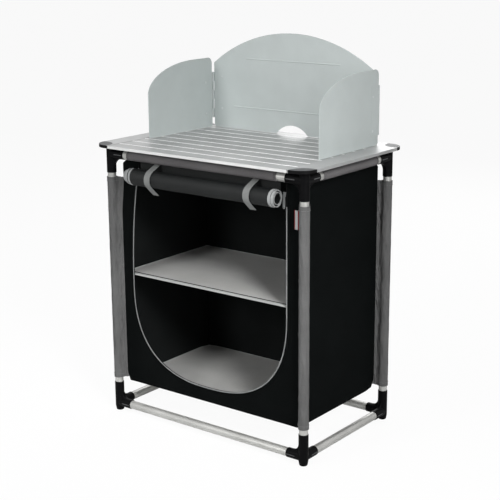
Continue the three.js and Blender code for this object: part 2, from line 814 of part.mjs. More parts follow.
function sideProfile() {
  const inner = halfWidth - profileWidth + slatSeam / 2;
  const ledgeTop = worktopUnderside + ledgeThickness;
  const floorTop = worktopUnderside + profileWall;
  const section = polygon([
    [inner - profileLedge, worktopUnderside],
    [halfWidth, worktopUnderside],
    [halfWidth, worktopHeight],
    [inner, worktopHeight],
    [inner, ledgeTop],
    [inner - profileLedge, ledgeTop],
  ]);
  section.holes.push(new THREE.Path([
    new THREE.Vector2(inner + profileWall, floorTop),
    new THREE.Vector2(inner + profileWall, worktopHeight - profileWall),
    new THREE.Vector2(halfWidth - profileWall, worktopHeight - profileWall),
    new THREE.Vector2(halfWidth - profileWall, floorTop),
  ]));
  const bar = prism(Y, section, -halfDepth, halfDepth);
  const cuts = [];
  const lensCut = prism(Z, capOutline(gap), worktopUnderside - overrun, worktopHeight + overrun);
  const bossCut = rod(capBossRadius + gap, worktopUnderside - overrun, worktopHeight - profileWall,
    smallSides);
  const fascia = slatWall + gap;
  const start = halfDepth - fascia;
  for (const sign of [-1, 1]) {
    const [cut, boss] = [lensCut, moved(bossCut, legInsetX, legInsetY, 0)].map((geometry) =>
      moved(mirrored(geometry, -1, -sign), halfWidth, sign * halfDepth, 0));
    cuts.push(cut, boss);
    const [y0, y1] = sign < 0 ? [-halfDepth - overrun, -start] : [start, halfDepth + overrun];
    cuts.push(block(inner - profileLedge - overrun, inner, y0, y1, worktopUnderside - overrun,
      worktopHeight + overrun));
  }
  return carve([bar], cuts);
}

function addWorktop() {
  for (let i = 0; i < slatCount; i += 1) {
    add(`worktop_slat_${i + 1}`, slat(i), slatMetal);
  }
  const profile = sideProfile();
  add('worktop_side_profile_left', mirrored(profile, -1, 1), slatMetal);
  add('worktop_side_profile_right', profile, slatMetal);
  const cap = cornerCap();
  for (const [place, signX, signY] of corners) {
    const geometry = mirrored(cap, -signX, -signY);
    add(`worktop_corner_cap_${place}`, geometry, greyPlastic, signX * halfWidth, signY * halfDepth, 0);
  }
}

// Windscreen: an arched back plate and two wings on riveted hinges. Heights are measured from
// the worktop, and the drawings of one side are mirrored for the other.

function rivetHole(u, v) {
  return hole(u, v, rivetRadius + gap / 2);
}

function stampedRib(inset, height) {
  const reach = hingeX - inset - ribRadius;
  const y = ribRadius - ribStandout;
  const capsule = (radius) => {
    const profile = [];
    for (const [end, from] of [[-reach, -quarterTurn], [reach, 0]]) {
      for (let i = 0; i <= cornerSteps; i += 1) {
        const turn = from + quarterTurn * (i / cornerSteps);
        profile.push([radius * Math.cos(turn), end + radius * Math.sin(turn)]);
      }
    }
    profile[0][0] = 0;
    profile[profile.length - 1][0] = 0;
    return moved(along(X, revolve(profile, smallSides)), 0, y, height);
  };
  return [capsule(ribRadius), capsule(ribRadius - sheet)];
}

// The back plate in its own frame: x from its middle, y back from its front face.
function screenBack() {
  const half = hingeX - plateFromAxis;
  const r = screenCornerRadius;
  const archRadius = (half * half + screenArchRise * screenArchRise) / (2 * screenArchRise);
  const archCentre = screenSideHeight + screenArchRise - archRadius;
  const archTurn = Math.asin(half / archRadius);
  const hoseCentre = hoseCutHeight - hoseCutRadius;
  const hoseHalf = Math.sqrt(hoseCutRadius ** 2 - hoseCentre ** 2);
  const hoseTurn = Math.atan2(-hoseCentre, hoseHalf);
  const shape = new THREE.Shape();
  shape.moveTo(-half + r, 0);
  arc(shape, 0, hoseCentre, hoseCutRadius, hoseCutRadius, halfTurn - hoseTurn, hoseTurn, arcSteps);
  arc(shape, half - r, r, r, r, -quarterTurn, 0, cornerSteps);
  arc(shape, 0, archCentre, archRadius, archRadius, quarterTurn - archTurn, quarterTurn + archTurn,
    archSteps);
  arc(shape, -half + r, r, r, r, halfTurn, 3 * quarterTurn, cornerSteps);
  for (const side of [-1, 1]) {
    for (const v of backRivets) {
      shape.holes.push(rivetHole(side * (hingeX - rivetFromAxis), hingeBottom + v));
    }
  }
  const plate = prism(Y, shape, 0, sheet);
  const [upper, upperGroove] = stampedRib(upperRibInset, upperRibHeight);
  const [lower, lowerGroove] = stampedRib(lowerRibInset, lowerRibHeight);
  const behind = block(-half, half, sheet, sheet + overrun, 0, screenSideHeight + screenArchRise);
  return carve([plate, upper, lower], [behind, upperGroove, lowerGroove]);
}

// A wing in its own frame: y forward of the hinge's axis (towards -Y), z up from the worktop.
function screenWing() {
  const rear = -plateFromAxis;
  const front = rear - wingLength;
  const r = screenCornerRadius;
  const shape = new THREE.Shape();
  shape.moveTo(front, 0);
  arc(shape, rear - r, r, r, r, -quarterTurn, 0, cornerSteps);
  arc(shape, rear - wingRearRadius, wingHeight - wingRearRadius, wingRearRadius, wingRearRadius,
    0, quarterTurn, filletSteps);
  arc(shape, front + wingCurveLength, wingHeight - wingCurveRise, wingCurveLength, wingCurveRise,
    quarterTurn, halfTurn, arcSteps);
  for (const v of wingRivets) {
    shape.holes.push(rivetHole(-rivetFromAxis, hingeBottom + v));
  }
  return prism(X, shape, hingeAxisInset, hingeAxisInset + sheet);
}

// A hinge leaf about the pin's axis: the leaf runs towards -X on the plate's outer (+Y) face,
// with every other knuckle, and its rivets reach through the plate to round heads inside.
function hingeLeaf(firstKnuckle, rivets) {
  const knuckle = hingeLength / knuckleCount;
  const leafFace = hingeAxisInset + sheet;
  const leaf = block(-leafWidth, -plateFromAxis, leafFace + gap / 2, barrelRadius, 0, hingeLength);
  const added = [leaf];
  for (let k = firstKnuckle; k < knuckleCount; k += 2) {
    const from = k * knuckle + (k > 0 ? gap / 2 : 0);
    const to = (k + 1) * knuckle - (k < knuckleCount - 1 ? gap / 2 : 0);
    added.push(rod(barrelRadius, from, to, knuckleSides));
    added.push(block(-plateFromAxis - gap, 0, leafFace + gap / 2, barrelRadius, from, to));
  }
  for (const z of rivets) {
    const shank = along(Y, rod(rivetRadius, hingeAxisInset - gap - gap / 2, barrelRadius, knuckleSides));
    const crown = rivetHeadRadius * rivetCrownShare;
    const head = along(Y, revolve([
      [0, hingeAxisInset - gap - rivetHeadHeight],
      [crown, hingeAxisInset - gap - rivetHeadHeight],
      [rivetHeadRadius, hingeAxisInset - gap - rivetHeadHeight / 3],
      [rivetHeadRadius, hingeAxisInset - gap],
      [0, hingeAxisInset - gap],
    ], knuckleSides));
    added.push(moved(shank, -rivetFromAxis, 0, z), moved(head, -rivetFromAxis, 0, z));
  }
  const bore = rod(hingePinRadius + runningClearance, -overrun, hingeLength + overrun, knuckleSides);
  return carve(added, [bore]);
}

function addWindscreen() {
  const back = screenBack();
  const wing = screenWing();
  const backLeaf = hingeLeaf(0, backRivets);
  const wingLeaf = hingeLeaf(1, wingRivets).clone();
  wingLeaf.applyMatrix4(new THREE.Matrix4().makeBasis(Y, X, Z));
  const pin = rod(hingePinRadius, -gap, hingeLength + gap, knuckleSides);
  const leafHeight = screenBottom + hingeBottom;
  add('windscreen_back', back, screenMetal, screenShift, screenFaceY, screenBottom);
  for (const [side, sign] of [['left', -1], ['right', 1]]) {
    const x = screenShift + sign * hingeX;
    add(`windscreen_wing_${side}`, mirrored(wing, sign, 1), screenMetal, x, hingeY, screenBottom);
    add(`hinge_back_leaf_${side}`, mirrored(backLeaf, sign, 1), rivetMetal, x, hingeY, leafHeight);
    add(`hinge_wing_leaf_${side}`, mirrored(wingLeaf, sign, 1), rivetMetal, x, hingeY, leafHeight);
    add(`hinge_pin_${side}`, pin, rivetMetal, x, hingeY, leafHeight);
  }
}

addFrame();
addBody();
addDoor();
addWorktop();
addWindscreen();

export default cupboard;
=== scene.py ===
"""Camping cupboard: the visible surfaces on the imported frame. Metres, +Z up, front towards -Y."""

import json
from itertools import accumulate
from math import acos, asin, atan2, ceil, cos, exp, hypot, pi, radians, sin, sqrt

import bmesh
import bpy
import numpy as np
from mathutils import Matrix, Vector, geometry, noise

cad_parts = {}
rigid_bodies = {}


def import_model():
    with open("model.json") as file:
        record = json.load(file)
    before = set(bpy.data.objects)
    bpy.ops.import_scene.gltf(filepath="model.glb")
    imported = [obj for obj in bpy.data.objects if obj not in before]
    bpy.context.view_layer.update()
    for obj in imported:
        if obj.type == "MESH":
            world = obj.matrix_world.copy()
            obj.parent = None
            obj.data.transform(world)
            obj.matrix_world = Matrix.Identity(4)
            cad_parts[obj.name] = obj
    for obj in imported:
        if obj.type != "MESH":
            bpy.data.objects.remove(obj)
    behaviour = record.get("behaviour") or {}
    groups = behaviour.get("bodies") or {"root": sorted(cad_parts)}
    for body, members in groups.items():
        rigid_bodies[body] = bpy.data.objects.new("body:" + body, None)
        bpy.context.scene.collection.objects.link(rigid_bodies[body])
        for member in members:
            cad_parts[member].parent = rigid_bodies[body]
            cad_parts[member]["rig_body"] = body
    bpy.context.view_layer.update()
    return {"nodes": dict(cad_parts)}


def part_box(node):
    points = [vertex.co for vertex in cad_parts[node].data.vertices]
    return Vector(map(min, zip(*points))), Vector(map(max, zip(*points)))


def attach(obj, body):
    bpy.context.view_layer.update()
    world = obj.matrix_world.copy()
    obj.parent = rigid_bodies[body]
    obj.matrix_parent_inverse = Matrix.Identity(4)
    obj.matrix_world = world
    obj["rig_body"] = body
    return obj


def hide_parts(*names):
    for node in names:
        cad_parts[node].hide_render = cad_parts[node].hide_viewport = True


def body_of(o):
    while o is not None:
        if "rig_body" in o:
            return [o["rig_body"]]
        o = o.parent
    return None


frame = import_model()

MM = 0.001

# Tube frame, as in the CAD
LEG_X = 332 * MM
LEG_Y = 199 * MM
LOWER_RAIL_Z = 25 * MM
UPPER_RAIL_Z = 770.2 * MM
TUBE_RADIUS = 12 * MM
TUBE_WALL = 1.2 * MM
TUBE_RIM = 0.3 * MM
SOCKET_RADIUS = 13.5 * MM
BORE_RADIUS = 12.3 * MM
BORE_FLOOR = 17 * MM
BORE_DEPTH = 4 * MM
HUB_RISE = 21 * MM
PEG_RADIUS = 4 * MM
PEG_HEIGHT = 5 * MM
UPPER_SOCKET = 54 * MM
LOWER_SOCKET = 50 * MM
LOWER_LEG_SOCKET = 64 * MM
UPPER_WEB_RADIUS = 24 * MM
LOWER_WEB_RADIUS = 21 * MM
WEB_HALF = 4.5 * MM
FOOT_RADIUS = 11.6 * MM
FOOT_ROUNDING = 4 * MM
FOOT_TAPER = 14 * MM
SLOT_LENGTH = 28 * MM
SLOT_WIDTH = 2.6 * MM
SLOT_DEPTH = 0.7 * MM
MOULD_VOXEL = 0.8 * MM
KEPT_FACES_SHARE = 0.22

# Fabric body, as in the CAD
CLOTH = 1.0 * MM
BODY_X = 308 * MM
BODY_Y = 186.7 * MM
WALL_Y = 186.1 * MM
WALL_X = 307.4 * MM
BODY_BOTTOM = 95.5 * MM
SHOULDER_Z = 745.5 * MM
SHOULDER_RISE = 17.5 * MM
SHOULDER_POWER = 2.0
OPENING_HALF = 268 * MM
OPENING_BOTTOM = 140 * MM
OPENING_CURVE_TOP = 400 * MM
OPENING_TOP = 750.2 * MM
OPENING_POWER = 2.5
OPENING_DRAW = 34 * MM
OPENING_DRAW_POWER = 2.3

# Where the sleeves and the rolled door draw the body in
CORNER_REACH = 45 * MM
CORNER_HEIGHT = 27 * MM
CORNER_DRAW = Vector((-7 * MM, -3 * MM, -2 * MM))
TOP_DRAW = 9 * MM
TOP_DRAW_FROM = 590 * MM
TOP_DRAW_TO = 700 * MM
TOP_DRAW_REACH = 60 * MM

# Walls' creases, with the length and depth of each kind
PANEL_STEP = 9 * MM
PANEL_EDGE = 45 * MM
PANEL_MARGIN_SHARE = 0.45
BROAD_CREASE = (190 * MM, 1.5 * MM)
FINE_CREASE = (42 * MM, 0.7 * MM)
FINE_CREASE_FROM = 350 * MM
FINE_CREASE_TO = 750 * MM
FRONT_CREASE_SHARE = 0.8

# Tunnels round the upper rails
TUNNEL_RADIUS = 12.6 * MM
TUNNEL_LEFT = -263 * MM
TUNNEL_RIGHT = 251 * MM
SIDE_TUNNEL_END = 130 * MM
TUNNEL_CLOTH = 0.8 * MM
TUNNEL_SWELL = 0.3 * MM
TUNNEL_WAVE = 34 * MM
TUNNEL_REACH = 20 * MM
TUNNEL_HEM = 9 * MM
TUNNEL_HEM_EDGE = 1.8 * MM
TUNNEL_HEM_RISE = 0.35 * MM
TUNNEL_STITCH = 6.3 * MM
HEM_RADIUS = 13.6 * MM

# Seams and stitches
STITCH_PITCH = 4 * MM
STITCH_LENGTH = 2.8 * MM
STITCH_RADIUS = 0.28 * MM
STITCH_SHARES = ((-0.5, 0.45), (-0.25, 1.0), (0.25, 1.0), (0.5, 0.45))
STITCH_SECTION_SHARES = ((-1, -0.6), (-1, 0.6), (0, 1.3), (1, 0.6), (1, -0.6))
BODY_PIPING = 1.3 * MM
BODY_PIPING_START = 1 * MM
BODY_PIPING_STOP = 2 * MM
BODY_HEM = 9 * MM
BODY_HEM_STOP = 2 * MM
BODY_HEM_OUT = 0.7 * MM

# Leg sleeves and their folds
SLEEVE_RADIUS = 13 * MM
SLEEVE_SEAM = 17.5 * MM
SLEEVE_LAYER = 0.5 * MM
SLEEVE_CLOTH = 0.8 * MM
SLEEVE_SLANT = 3 * MM
SLEEVE_HEM = 12 * MM
SLEEVE_HEM_EDGE = 1 * MM
SLEEVE_HEM_RISE = 0.5 * MM
SLEEVE_SWELL = 0.5 * MM
SLEEVE_WAVE = 26 * MM
SLEEVE_STITCH = 11 * MM
SLEEVE_STITCH_OUT = 2 * MM
SLEEVE_PITCH = 46 * MM
SLEEVE_LEAN = 40 * MM
SLEEVE_FOLD = 3.2 * MM
SLEEVE_WANDER = 25 * MM
SLEEVE_PATCH = 80 * MM

# Side tag
TAG_WIDTH = 14 * MM
TAG_HEIGHT = 50 * MM
TAG_BOTTOM = 641 * MM
TAG_THICKNESS = 0.6 * MM
TAG_GAP = 5 * MM
TAG_BULGE = 1.2 * MM
TAG_BAND_SHARE = 0.28

# Boards
BOARD_HALF = 2.5 * MM
PIPING_SEAM = 3.2 * MM
SEAM_WIDTH = 13 * MM
SEAM_DEPTH = 0.5 * MM
SEAM_SLOPE = 0.5 * MM
BOARD_ROUNDING = 1 * MM
BOARD_SAG = 0.3 * MM
BOARD_WAVE = 80 * MM
EDGE_CORD = 1.2 * MM

# Rolled door, as in the CAD
ROLL_Y = -212 * MM
ROLL_Z = 716.2 * MM
ROLL_RADIUS = 24 * MM
ROLL_TURNS = 3
ROLL_PITCH = 1.9 * MM
ROLL_SLACK = 3.5 * MM
ROLL_SLACK_TURNS = (1.7, 2.1)
ROLL_SHEET = 1.1 * MM
ROLL_SPACE = 1.3 * MM
ROLL_TAIL_TOP = 755.2 * MM
ROLL_LEFT = -231 * MM
ROLL_RIGHT = 250 * MM
ROLL_LEFT_STEP = 11.5 * MM
ROLL_RIGHT_STEP = 8.5 * MM
ROLL_RIGHT_TURNS = (0.6, 1.4)
LEFT_BINDING = 6.8 * MM
RIGHT_BINDING = 7.6 * MM
BINDING_INSIDE = 3 * MM
BINDING_LAYER = 0.25 * MM
ROLL_BULGE = 0.5 * MM
ROLL_BROAD = 55 * MM
ROLL_FINE = 16 * MM
ROLL_FINE_SHARE = 0.35
ROLL_FADE = 30 * MM
ROLL_ROUND = 30 * MM
ROLL_DRIFT = 4 * MM
ROLL_FREE_TURNS = 0.2
TAIL_ROWS = 4
TURN_ROWS = 40

# Straps: their middles and tails
STRAP_GRIP = 15 * MM
STRAP_WIDTH = 20 * MM
STRAP_THICKNESS = 1.2 * MM
STRAP_END = 1.25 * pi
STRAP_CURL = 2 * MM
STRAPS = {"left": (-165 * MM, 40 * MM), "right": (175 * MM, 32 * MM)}

# Zip: its chain, its teeth (along, out and inwards) and its tape
ZIP_Y = -188.8 * MM
ZIP_OVERLAP = 1.5 * MM
ZIP_RADIUS = 1.1 * MM
ZIP_SQUASH_SHARE = 0.7
TOOTH = Vector((1.2 * MM, 2.34 * MM, 3.2 * MM))
TOOTH_PITCH = 1.9 * MM
TOOTH_SINK = 0.3 * MM
TOOTH_BEVEL_SHARE = 0.22
# heights, left and right, above which the chain is painted dark as the roll's shadow
CHAIN_SHADES = (736 * MM, 692 * MM)
TAPE_WIDTH = 10 * MM
TAPE_THICKNESS = 0.5 * MM
TAPE_START = 0.6 * MM
TAPE_OUT = 0.45 * MM
TAPE_SHARES = (0, 0.33, 0.67, 1)
TAPE_SEAMS = {"inner": 3.4 * MM, "outer": 8.8 * MM}
TAPE_SEAM_OUT = 0.85 * MM
ZIP_RIM = 0.2 * MM

# Worktop, as in the CAD
SLAT_TOP = 799.4 * MM
BEAD_CREST = 0.08 * MM
LIP_DEPTH = 1.5 * MM
SLAT_RIM = 0.12 * MM
PROFILE_RIM = 0.3 * MM
CAP_RIM = 0.6 * MM

# Windscreen, as in the CAD, with each rib's reach and height and each rivet's height
SCREEN_SHIFT = 5 * MM
SCREEN_FACE_Y = 204 * MM
SCREEN_BOTTOM = 800.3 * MM
SHEET = 1.2 * MM
HINGE_X = 291 * MM
HINGE_Y = 202.8 * MM
HINGE_BOTTOM = 27 * MM
HINGE_LENGTH = 137 * MM
AXIS_INSET = 1.2 * MM
BARREL_RADIUS = 3.2 * MM
PIN_RADIUS = 1.5 * MM
KNUCKLES = 5
KNUCKLE_GAP = 0.3 * MM
LEAF_WIDTH = 40 * MM
LEAF_THICKNESS = 0.65 * MM
PLATE_FROM_AXIS = 3.8 * MM
SCREEN_SIDE = 192 * MM
ARCH_RISE = 98 * MM
SCREEN_CORNER = 7 * MM
HOSE_RADIUS = 72 * MM
HOSE_HEIGHT = 26 * MM
RIB_RADIUS = 2 * MM
RIB_STANDOUT = 1.4 * MM
RIB_TIP = 0.02 * MM
RIBS = ((164 * MM, 210 * MM), (212 * MM, 66 * MM))
WING_LENGTH = 286 * MM
WING_HEIGHT = 208 * MM
WING_CURVE = (200 * MM, 84 * MM)
WING_REAR_RADIUS = 18 * MM
RIVET_FROM_AXIS = 33 * MM
RIVET_RADIUS = 3.4 * MM
RIVET_RISE = 0.9 * MM
RIVET_EDGE = 0.1 * MM
BACK_RIVETS = (29 * MM, 123 * MM)
WING_RIVETS = (14 * MM, 108 * MM)
RIM = 0.25 * MM
SLAB_RIM = 0.15 * MM

# Facets: sides, angles in degrees, and how near two points count as one
ROUND = 48
SMALL_ROUND = 12
HINGE_ROUND = 32
PIN_ROUND = 24
SMOOTH_ANGLE = 35
PLATE_ANGLE = 30
MOULD_ANGLE = 40
EDGE_ANGLE = 50
CLOTH_ANGLE = 60
SAME_VERTEX = 0.005 * MM
SAME_SPOT = 0.01 * MM
SAME_KNOT = 1e-7

# Materials: scales of their noise per metre, relief, and pitch of the weaves
CLOTH_PATCHES = 9.0
CLOTH_GRAIN = 420.0
METAL_PATCHES = 14.0
METAL_BRUSH = 900.0
PLASTIC_PATCHES = 22.0
PLASTIC_GRAIN = 1600.0
FLOOR_PATCHES = 3.0
THREAD_RELIEF = 0.12 * MM
GRAIN_RELIEF = 0.3 * MM
BRUSH_RELIEF = 0.05 * MM
PLASTIC_RELIEF = 0.12 * MM
CLOTH_PITCH = 1.1 * MM
TAPE_PITCH = 0.9 * MM
WEBBING_PITCH = 1.6 * MM
TAG_PITCH = 0.8 * MM
THREAD_PITCH = 0.5 * MM
FOLD_SCALE = 55
FOLD_SLANT = 0.9
FOLD_DRAW = 0.3
FOLD_DEPTH = 12 * MM
# near-white painted highlight for the slats' bead crests
BEAD_HIGHLIGHT = (250, 250, 250)
TOP_NORMAL = 0.8

# Camera, solved from the picture's edges, in metres and degrees
CAMERA_PLACE = (2.0267, -2.6266, 1.3643)
CAMERA_AZIMUTH = 37.58
CAMERA_ELEVATION = 14.65
CAMERA_ROLL = -0.42
LENS = 87.02
SENSOR = 36
VIEW_END = 100

# Room: each lamp's azimuth and elevation in degrees, distance, width and height in metres, and power
AMBIENT = 0.12
FLOOR_HALF = 40.0
FLOOR_GLOW = 0.94
LAMP_TARGET = Vector((0, 0, 0.55))
LAMPS = {
    "front softbox": (-11, 20, 3.4, 0.8, 0.8, 46),
    "right softbox": (66, 20, 3.4, 1.6, 2.2, 52),
    "overhead": (0, 82, 3.0, 2.6, 2.6, 46),
    "back softbox": (196, 28, 3.6, 2.4, 2.4, 46),
}
KEY_TARGET = Vector((0, -0.12, 0.3))
KEY_AZIMUTH = 60
KEY_ELEVATION = 33
KEY_DISTANCE = 3.4
KEY_RADIUS = 0.42
KEY_CONE = 17
KEY_BLEND = 0.4
KEY_POWER = 380

# Frame's corners, and its rails' directions and outward sides
PLACES = {
    "front_left": (-1, -1),
    "front_right": (1, -1),
    "back_left": (-1, 1),
    "back_right": (1, 1),
}
RAIL_AXES = {"X": ((1, 0, 0), (0, -1, 0)), "Y": ((0, 1, 0), (-1, 0, 0))}


# Materials


def srgb(red, green, blue):
    """A colour as the picture shows it, from 0 to 255, as a linear colour."""
    channels = [c / 255 for c in (red, green, blue)]
    return (*(c / 12.92 if c <= 0.04045 else ((c + 0.055) / 1.055) ** 2.4 for c in channels), 1.0)


class Nodes:
    """A tree of shader nodes, and the few links that it needs."""

    def __init__(self, tree):
        self.nodes = tree.nodes
        self.links = tree.links

    def feed(self, socket, value):
        """Sets a socket to a value, or links it to a source."""
        if isinstance(value, bpy.types.NodeSocket):
            self.links.new(value, socket)
        else:
            socket.default_value = value

    def add(self, kind, **inputs):
        node = self.nodes.new(f"ShaderNode{kind}")
        for name, value in inputs.items():
            self.feed(node.inputs[name.replace("_", " ")], value)
        return node

    def math(self, operation, first, second):
        node = self.add("Math")
        node.operation = operation
        self.feed(node.inputs[0], first)
        self.feed(node.inputs[1], second)
        return node.outputs[0]

    def mix(self, share, first, second):
        """Goes from the first shader to the second as a share goes from 0 to 1."""
        node = self.add("MixShader", Fac=share)
        self.feed(node.inputs[1], first.outputs[0])
        self.feed(node.inputs[2], second.outputs[0])
        return node.outputs[0]


class Shader(Nodes):
    """A Principled material."""

    def __init__(self, name, **sockets):
        self.material = bpy.data.materials.new(name)
        self.material.use_nodes = True
        super().__init__(self.material.node_tree)
        self.surface = self.nodes["Principled BSDF"]
        for socket, value in sockets.items():
            self.surface.inputs[socket.replace("_", " ")].default_value = value
        self.coordinates = self.add("TexCoord").outputs

    def paint(self, colour):
        self.feed(self.surface.inputs["Base Color"], colour)

    def noise(self, scale, detail=3.0, stretch=(1, 1, 1), coordinates="Object", turn=0.0):
        source = self.coordinates[coordinates]
        mapping = self.add("Mapping", Vector=source, Rotation=(0, 0, turn), Scale=stretch)
        return self.add("TexNoise", Vector=mapping.outputs[0], Scale=scale, Detail=detail).outputs["Fac"]

    def ramp(self, factor, low, high, start=0.0, end=1.0):
        node = self.add("ValToRGB", Fac=factor)
        for element, colour, position in zip(node.color_ramp.elements, (low, high), (start, end)):
            element.color = srgb(*colour)
            element.position = position
        return node.outputs[0]

    def sheen(self, factor, roughness):
        """Spreads the roughness a little round a value."""
        spread_out = self.add("MapRange", Value=factor, To_Min=roughness - 0.06, To_Max=roughness + 0.08)
        self.feed(self.surface.inputs["Roughness"], spread_out.outputs[0])

    def sum_of(self, *parts):
        """Adds sources up, each by its share."""
        total, *others = [self.math("MULTIPLY", source, share) for source, share in parts]
        for other in others:
            total = self.math("ADD", total, other)
        return total

    def blend(self, share, first, colour):
        """Goes from the first source to a colour as a share goes from 0 to 1."""
        node = self.add("Mix", Factor=share)
        node.data_type = "RGBA"
        self.feed(node.inputs[6], first)
        self.feed(node.inputs[7], srgb(*colour))
        return node.outputs[2]

    def above(self, coordinates, height):
        """Is 1 where the Z of a point or of a normal is above a height."""
        split = self.add("SeparateXYZ", Vector=self.coordinates[coordinates])
        return self.math("GREATER_THAN", split.outputs[2], height)

    def bump(self, height, distance, strength=1.0):
        node = self.add("Bump", Height=height, Distance=distance, Strength=strength)
        previous = self.surface.inputs["Normal"]
        if previous.is_linked:
            self.feed(node.inputs["Normal"], previous.links[0].from_socket)
        self.feed(previous, node.outputs[0])

    def weave(self, pitch):
        """Threads over and under each other, on the cloth's own flat coordinates in metres."""
        split = self.add("SeparateXYZ", Vector=self.coordinates["UV"])
        turn = 2 * pi / pitch
        waves = [self.math("SINE", self.math("MULTIPLY", split.outputs[i], turn), 0.0) for i in range(2)]
        return self.math("MULTIPLY", *waves)


def cloth_material(name, dark, light, pitch=CLOTH_PITCH, roughness=0.85, specular=0.1, folds=0.0):
    """Woven cloth, with soft slanting folds of a given depth."""
    shader = Shader(name, Roughness=roughness, Specular_IOR_Level=specular)
    weave = shader.weave(pitch)
    patches = shader.noise(CLOTH_PATCHES)
    grain = shader.noise(CLOTH_GRAIN, 2.0)
    tone = shader.sum_of((weave, 0.12), (patches, 0.6), (grain, 0.4))
    shader.paint(shader.ramp(tone, dark, light, 0.25, 0.8))
    shader.bump(weave, THREAD_RELIEF, 0.7)
    shader.bump(grain, GRAIN_RELIEF, 0.35)
    if folds:
        shader.bump(shader.noise(FOLD_SCALE, 1.5, (1, FOLD_DRAW, 1), "UV", FOLD_SLANT), folds)
    return shader.material


def metal_material(name, dark, light, metallic, roughness, stretch=(1, 1, 1), crest=None):
    """Satin metal, brushed along the axis that stretch leaves short, with a near-white painted highlight
    above a crest.
    """
    shader = Shader(name, Metallic=metallic)
    brushed = shader.noise(METAL_BRUSH, 3.0, stretch)
    tone = shader.sum_of((brushed, 0.45), (shader.noise(METAL_PATCHES), 0.55))
    colour = shader.ramp(tone, dark, light, 0.3, 0.7)
    if crest is not None:
        # painted highlight: faces above the crest height turn near-white
        colour = shader.blend(shader.above("Object", crest), colour, BEAD_HIGHLIGHT)
    shader.paint(colour)
    shader.sheen(tone, roughness)
    shader.bump(brushed, BRUSH_RELIEF, 0.25)
    return shader.material


def plastic_material(name, dark, light, roughness, specular, top=None):
    """Fine-grained plastic, with another colour on its upward faces where top is given."""
    shader = Shader(name, Specular_IOR_Level=specular)
    patches = shader.noise(PLASTIC_PATCHES)
    colour = shader.ramp(patches, dark, light, 0.3, 0.75)
    if top is not None:
        colour = shader.blend(shader.above("Normal", TOP_NORMAL), colour, top)
    shader.paint(colour)
    shader.sheen(patches, roughness)
    shader.bump(shader.noise(PLASTIC_GRAIN, 2.0), PLASTIC_RELIEF, 0.3)
    return shader.material


tube_silver = metal_material("tube silver", (162, 162, 159), (192, 192, 189), 0.6, 0.36, (30, 30, 30))
# the slats' bead crests carry a painted highlight
slat_silver = metal_material("slat silver", (142, 143, 143), (170, 171, 171), 0.45, 0.4, (1, 40, 40),
                             SLAT_TOP + BEAD_CREST)
profile_silver = metal_material("profile silver", (150, 151, 151), (178, 179, 179), 0.45, 0.4, (40, 1, 40))
# a paler copy of the slat metal: a painted highlight along the first slat's front lip
lip_highlight_silver = metal_material("lip highlight silver", (204, 205, 204), (222, 223, 222), 0.2, 0.4, (1, 40, 40))
screen_grey = metal_material("windscreen grey", (180, 187, 186), (190, 197, 196), 0.12, 0.5, (3, 3, 40))
bright_steel = metal_material("bright steel", (186, 190, 190), (216, 220, 220), 0.7, 0.34)
zip_steel = metal_material("zip steel", (112, 114, 114), (140, 142, 142), 0.3, 0.4)
black_plastic = plastic_material("black plastic", (6, 6, 7), (11, 11, 12), 0.42, 0.05)
# a paler grey on the sockets' slots: a painted highlight
slot_highlight_plastic = plastic_material("slot highlight plastic", (66, 67, 68), (84, 85, 86), 0.4, 0.4)
cap_plastic = plastic_material("cap plastic", (8, 8, 9), (14, 14, 15), 0.4, 0.08, (80, 81, 82))
zip_plastic = plastic_material("zip plastic", (118, 120, 120), (148, 150, 150), 0.5, 0.3)
black_cloth = cloth_material("black cloth", (7, 9, 9), (14, 16, 16), specular=0.02)
lining_cloth = cloth_material("lining cloth", (16, 18, 18), (28, 30, 30), specular=0.05)
door_cloth = cloth_material("door cloth", (14, 16, 16), (25, 27, 27), roughness=0.5, specular=0.2)
# near-black painted shade for the boards' sunk seam
seam_shade_cloth = cloth_material("seam shade cloth", (10, 11, 11), (18, 19, 19))
grey_cloth = cloth_material("grey cloth", (81, 81, 81), (103, 103, 103), folds=FOLD_DEPTH)
tunnel_cloth = cloth_material("tunnel cloth", (86, 84, 85), (108, 106, 107))
board_cloth = cloth_material("board cloth", (162, 162, 160), (186, 186, 184))
piping_tape = cloth_material("piping tape", (158, 160, 158), (186, 188, 186), TAPE_PITCH)
binding_tape = cloth_material("binding tape", (132, 134, 134), (166, 168, 168), TAPE_PITCH)
webbing = cloth_material("webbing", (106, 108, 107), (136, 138, 137), WEBBING_PITCH)
# the dark thread colour also serves as painted shadow on the zip chain's upper teeth
thread = cloth_material("thread", (18, 19, 19), (30, 31, 31), THREAD_PITCH, specular=0.03)
pale_thread = cloth_material("pale thread", (122, 123, 124), (146, 147, 148), THREAD_PITCH)
tag_tape = cloth_material("tag tape", (92, 26, 30), (128, 44, 48), TAG_PITCH)


# Points and paths


def spread(start, end, steps):
    """Evenly spaced values from start to end, with steps between them."""
    return [start + (end - start) * i / steps for i in range(steps + 1)]


def arc(u, v, radius, start, end, steps, rise=None):
    """Points on an arc about (u, v), on an ellipse where its rise is given."""
    height = radius if rise is None else rise
    return [(u + radius * cos(t), v + height * sin(t)) for t in spread(start, end, steps)]


def smoothstep(low, high, value):
    share = min(max((value - low) / (high - low), 0.0), 1.0)
    return share * share * (3 - 2 * share)


def ripple(x, y, z, scale, seed):
    """Smooth noise from -1 to 1 at a wavelength in metres."""
    return noise.noise(Vector((x / scale + seed, y / scale, z / scale)))


def run_along(points):
    """How far along its path each point lies."""
    run = [0.0]
    for first, second in zip(points, points[1:]):
        run.append(run[-1] + (Vector(second) - Vector(first)).length)
    return run


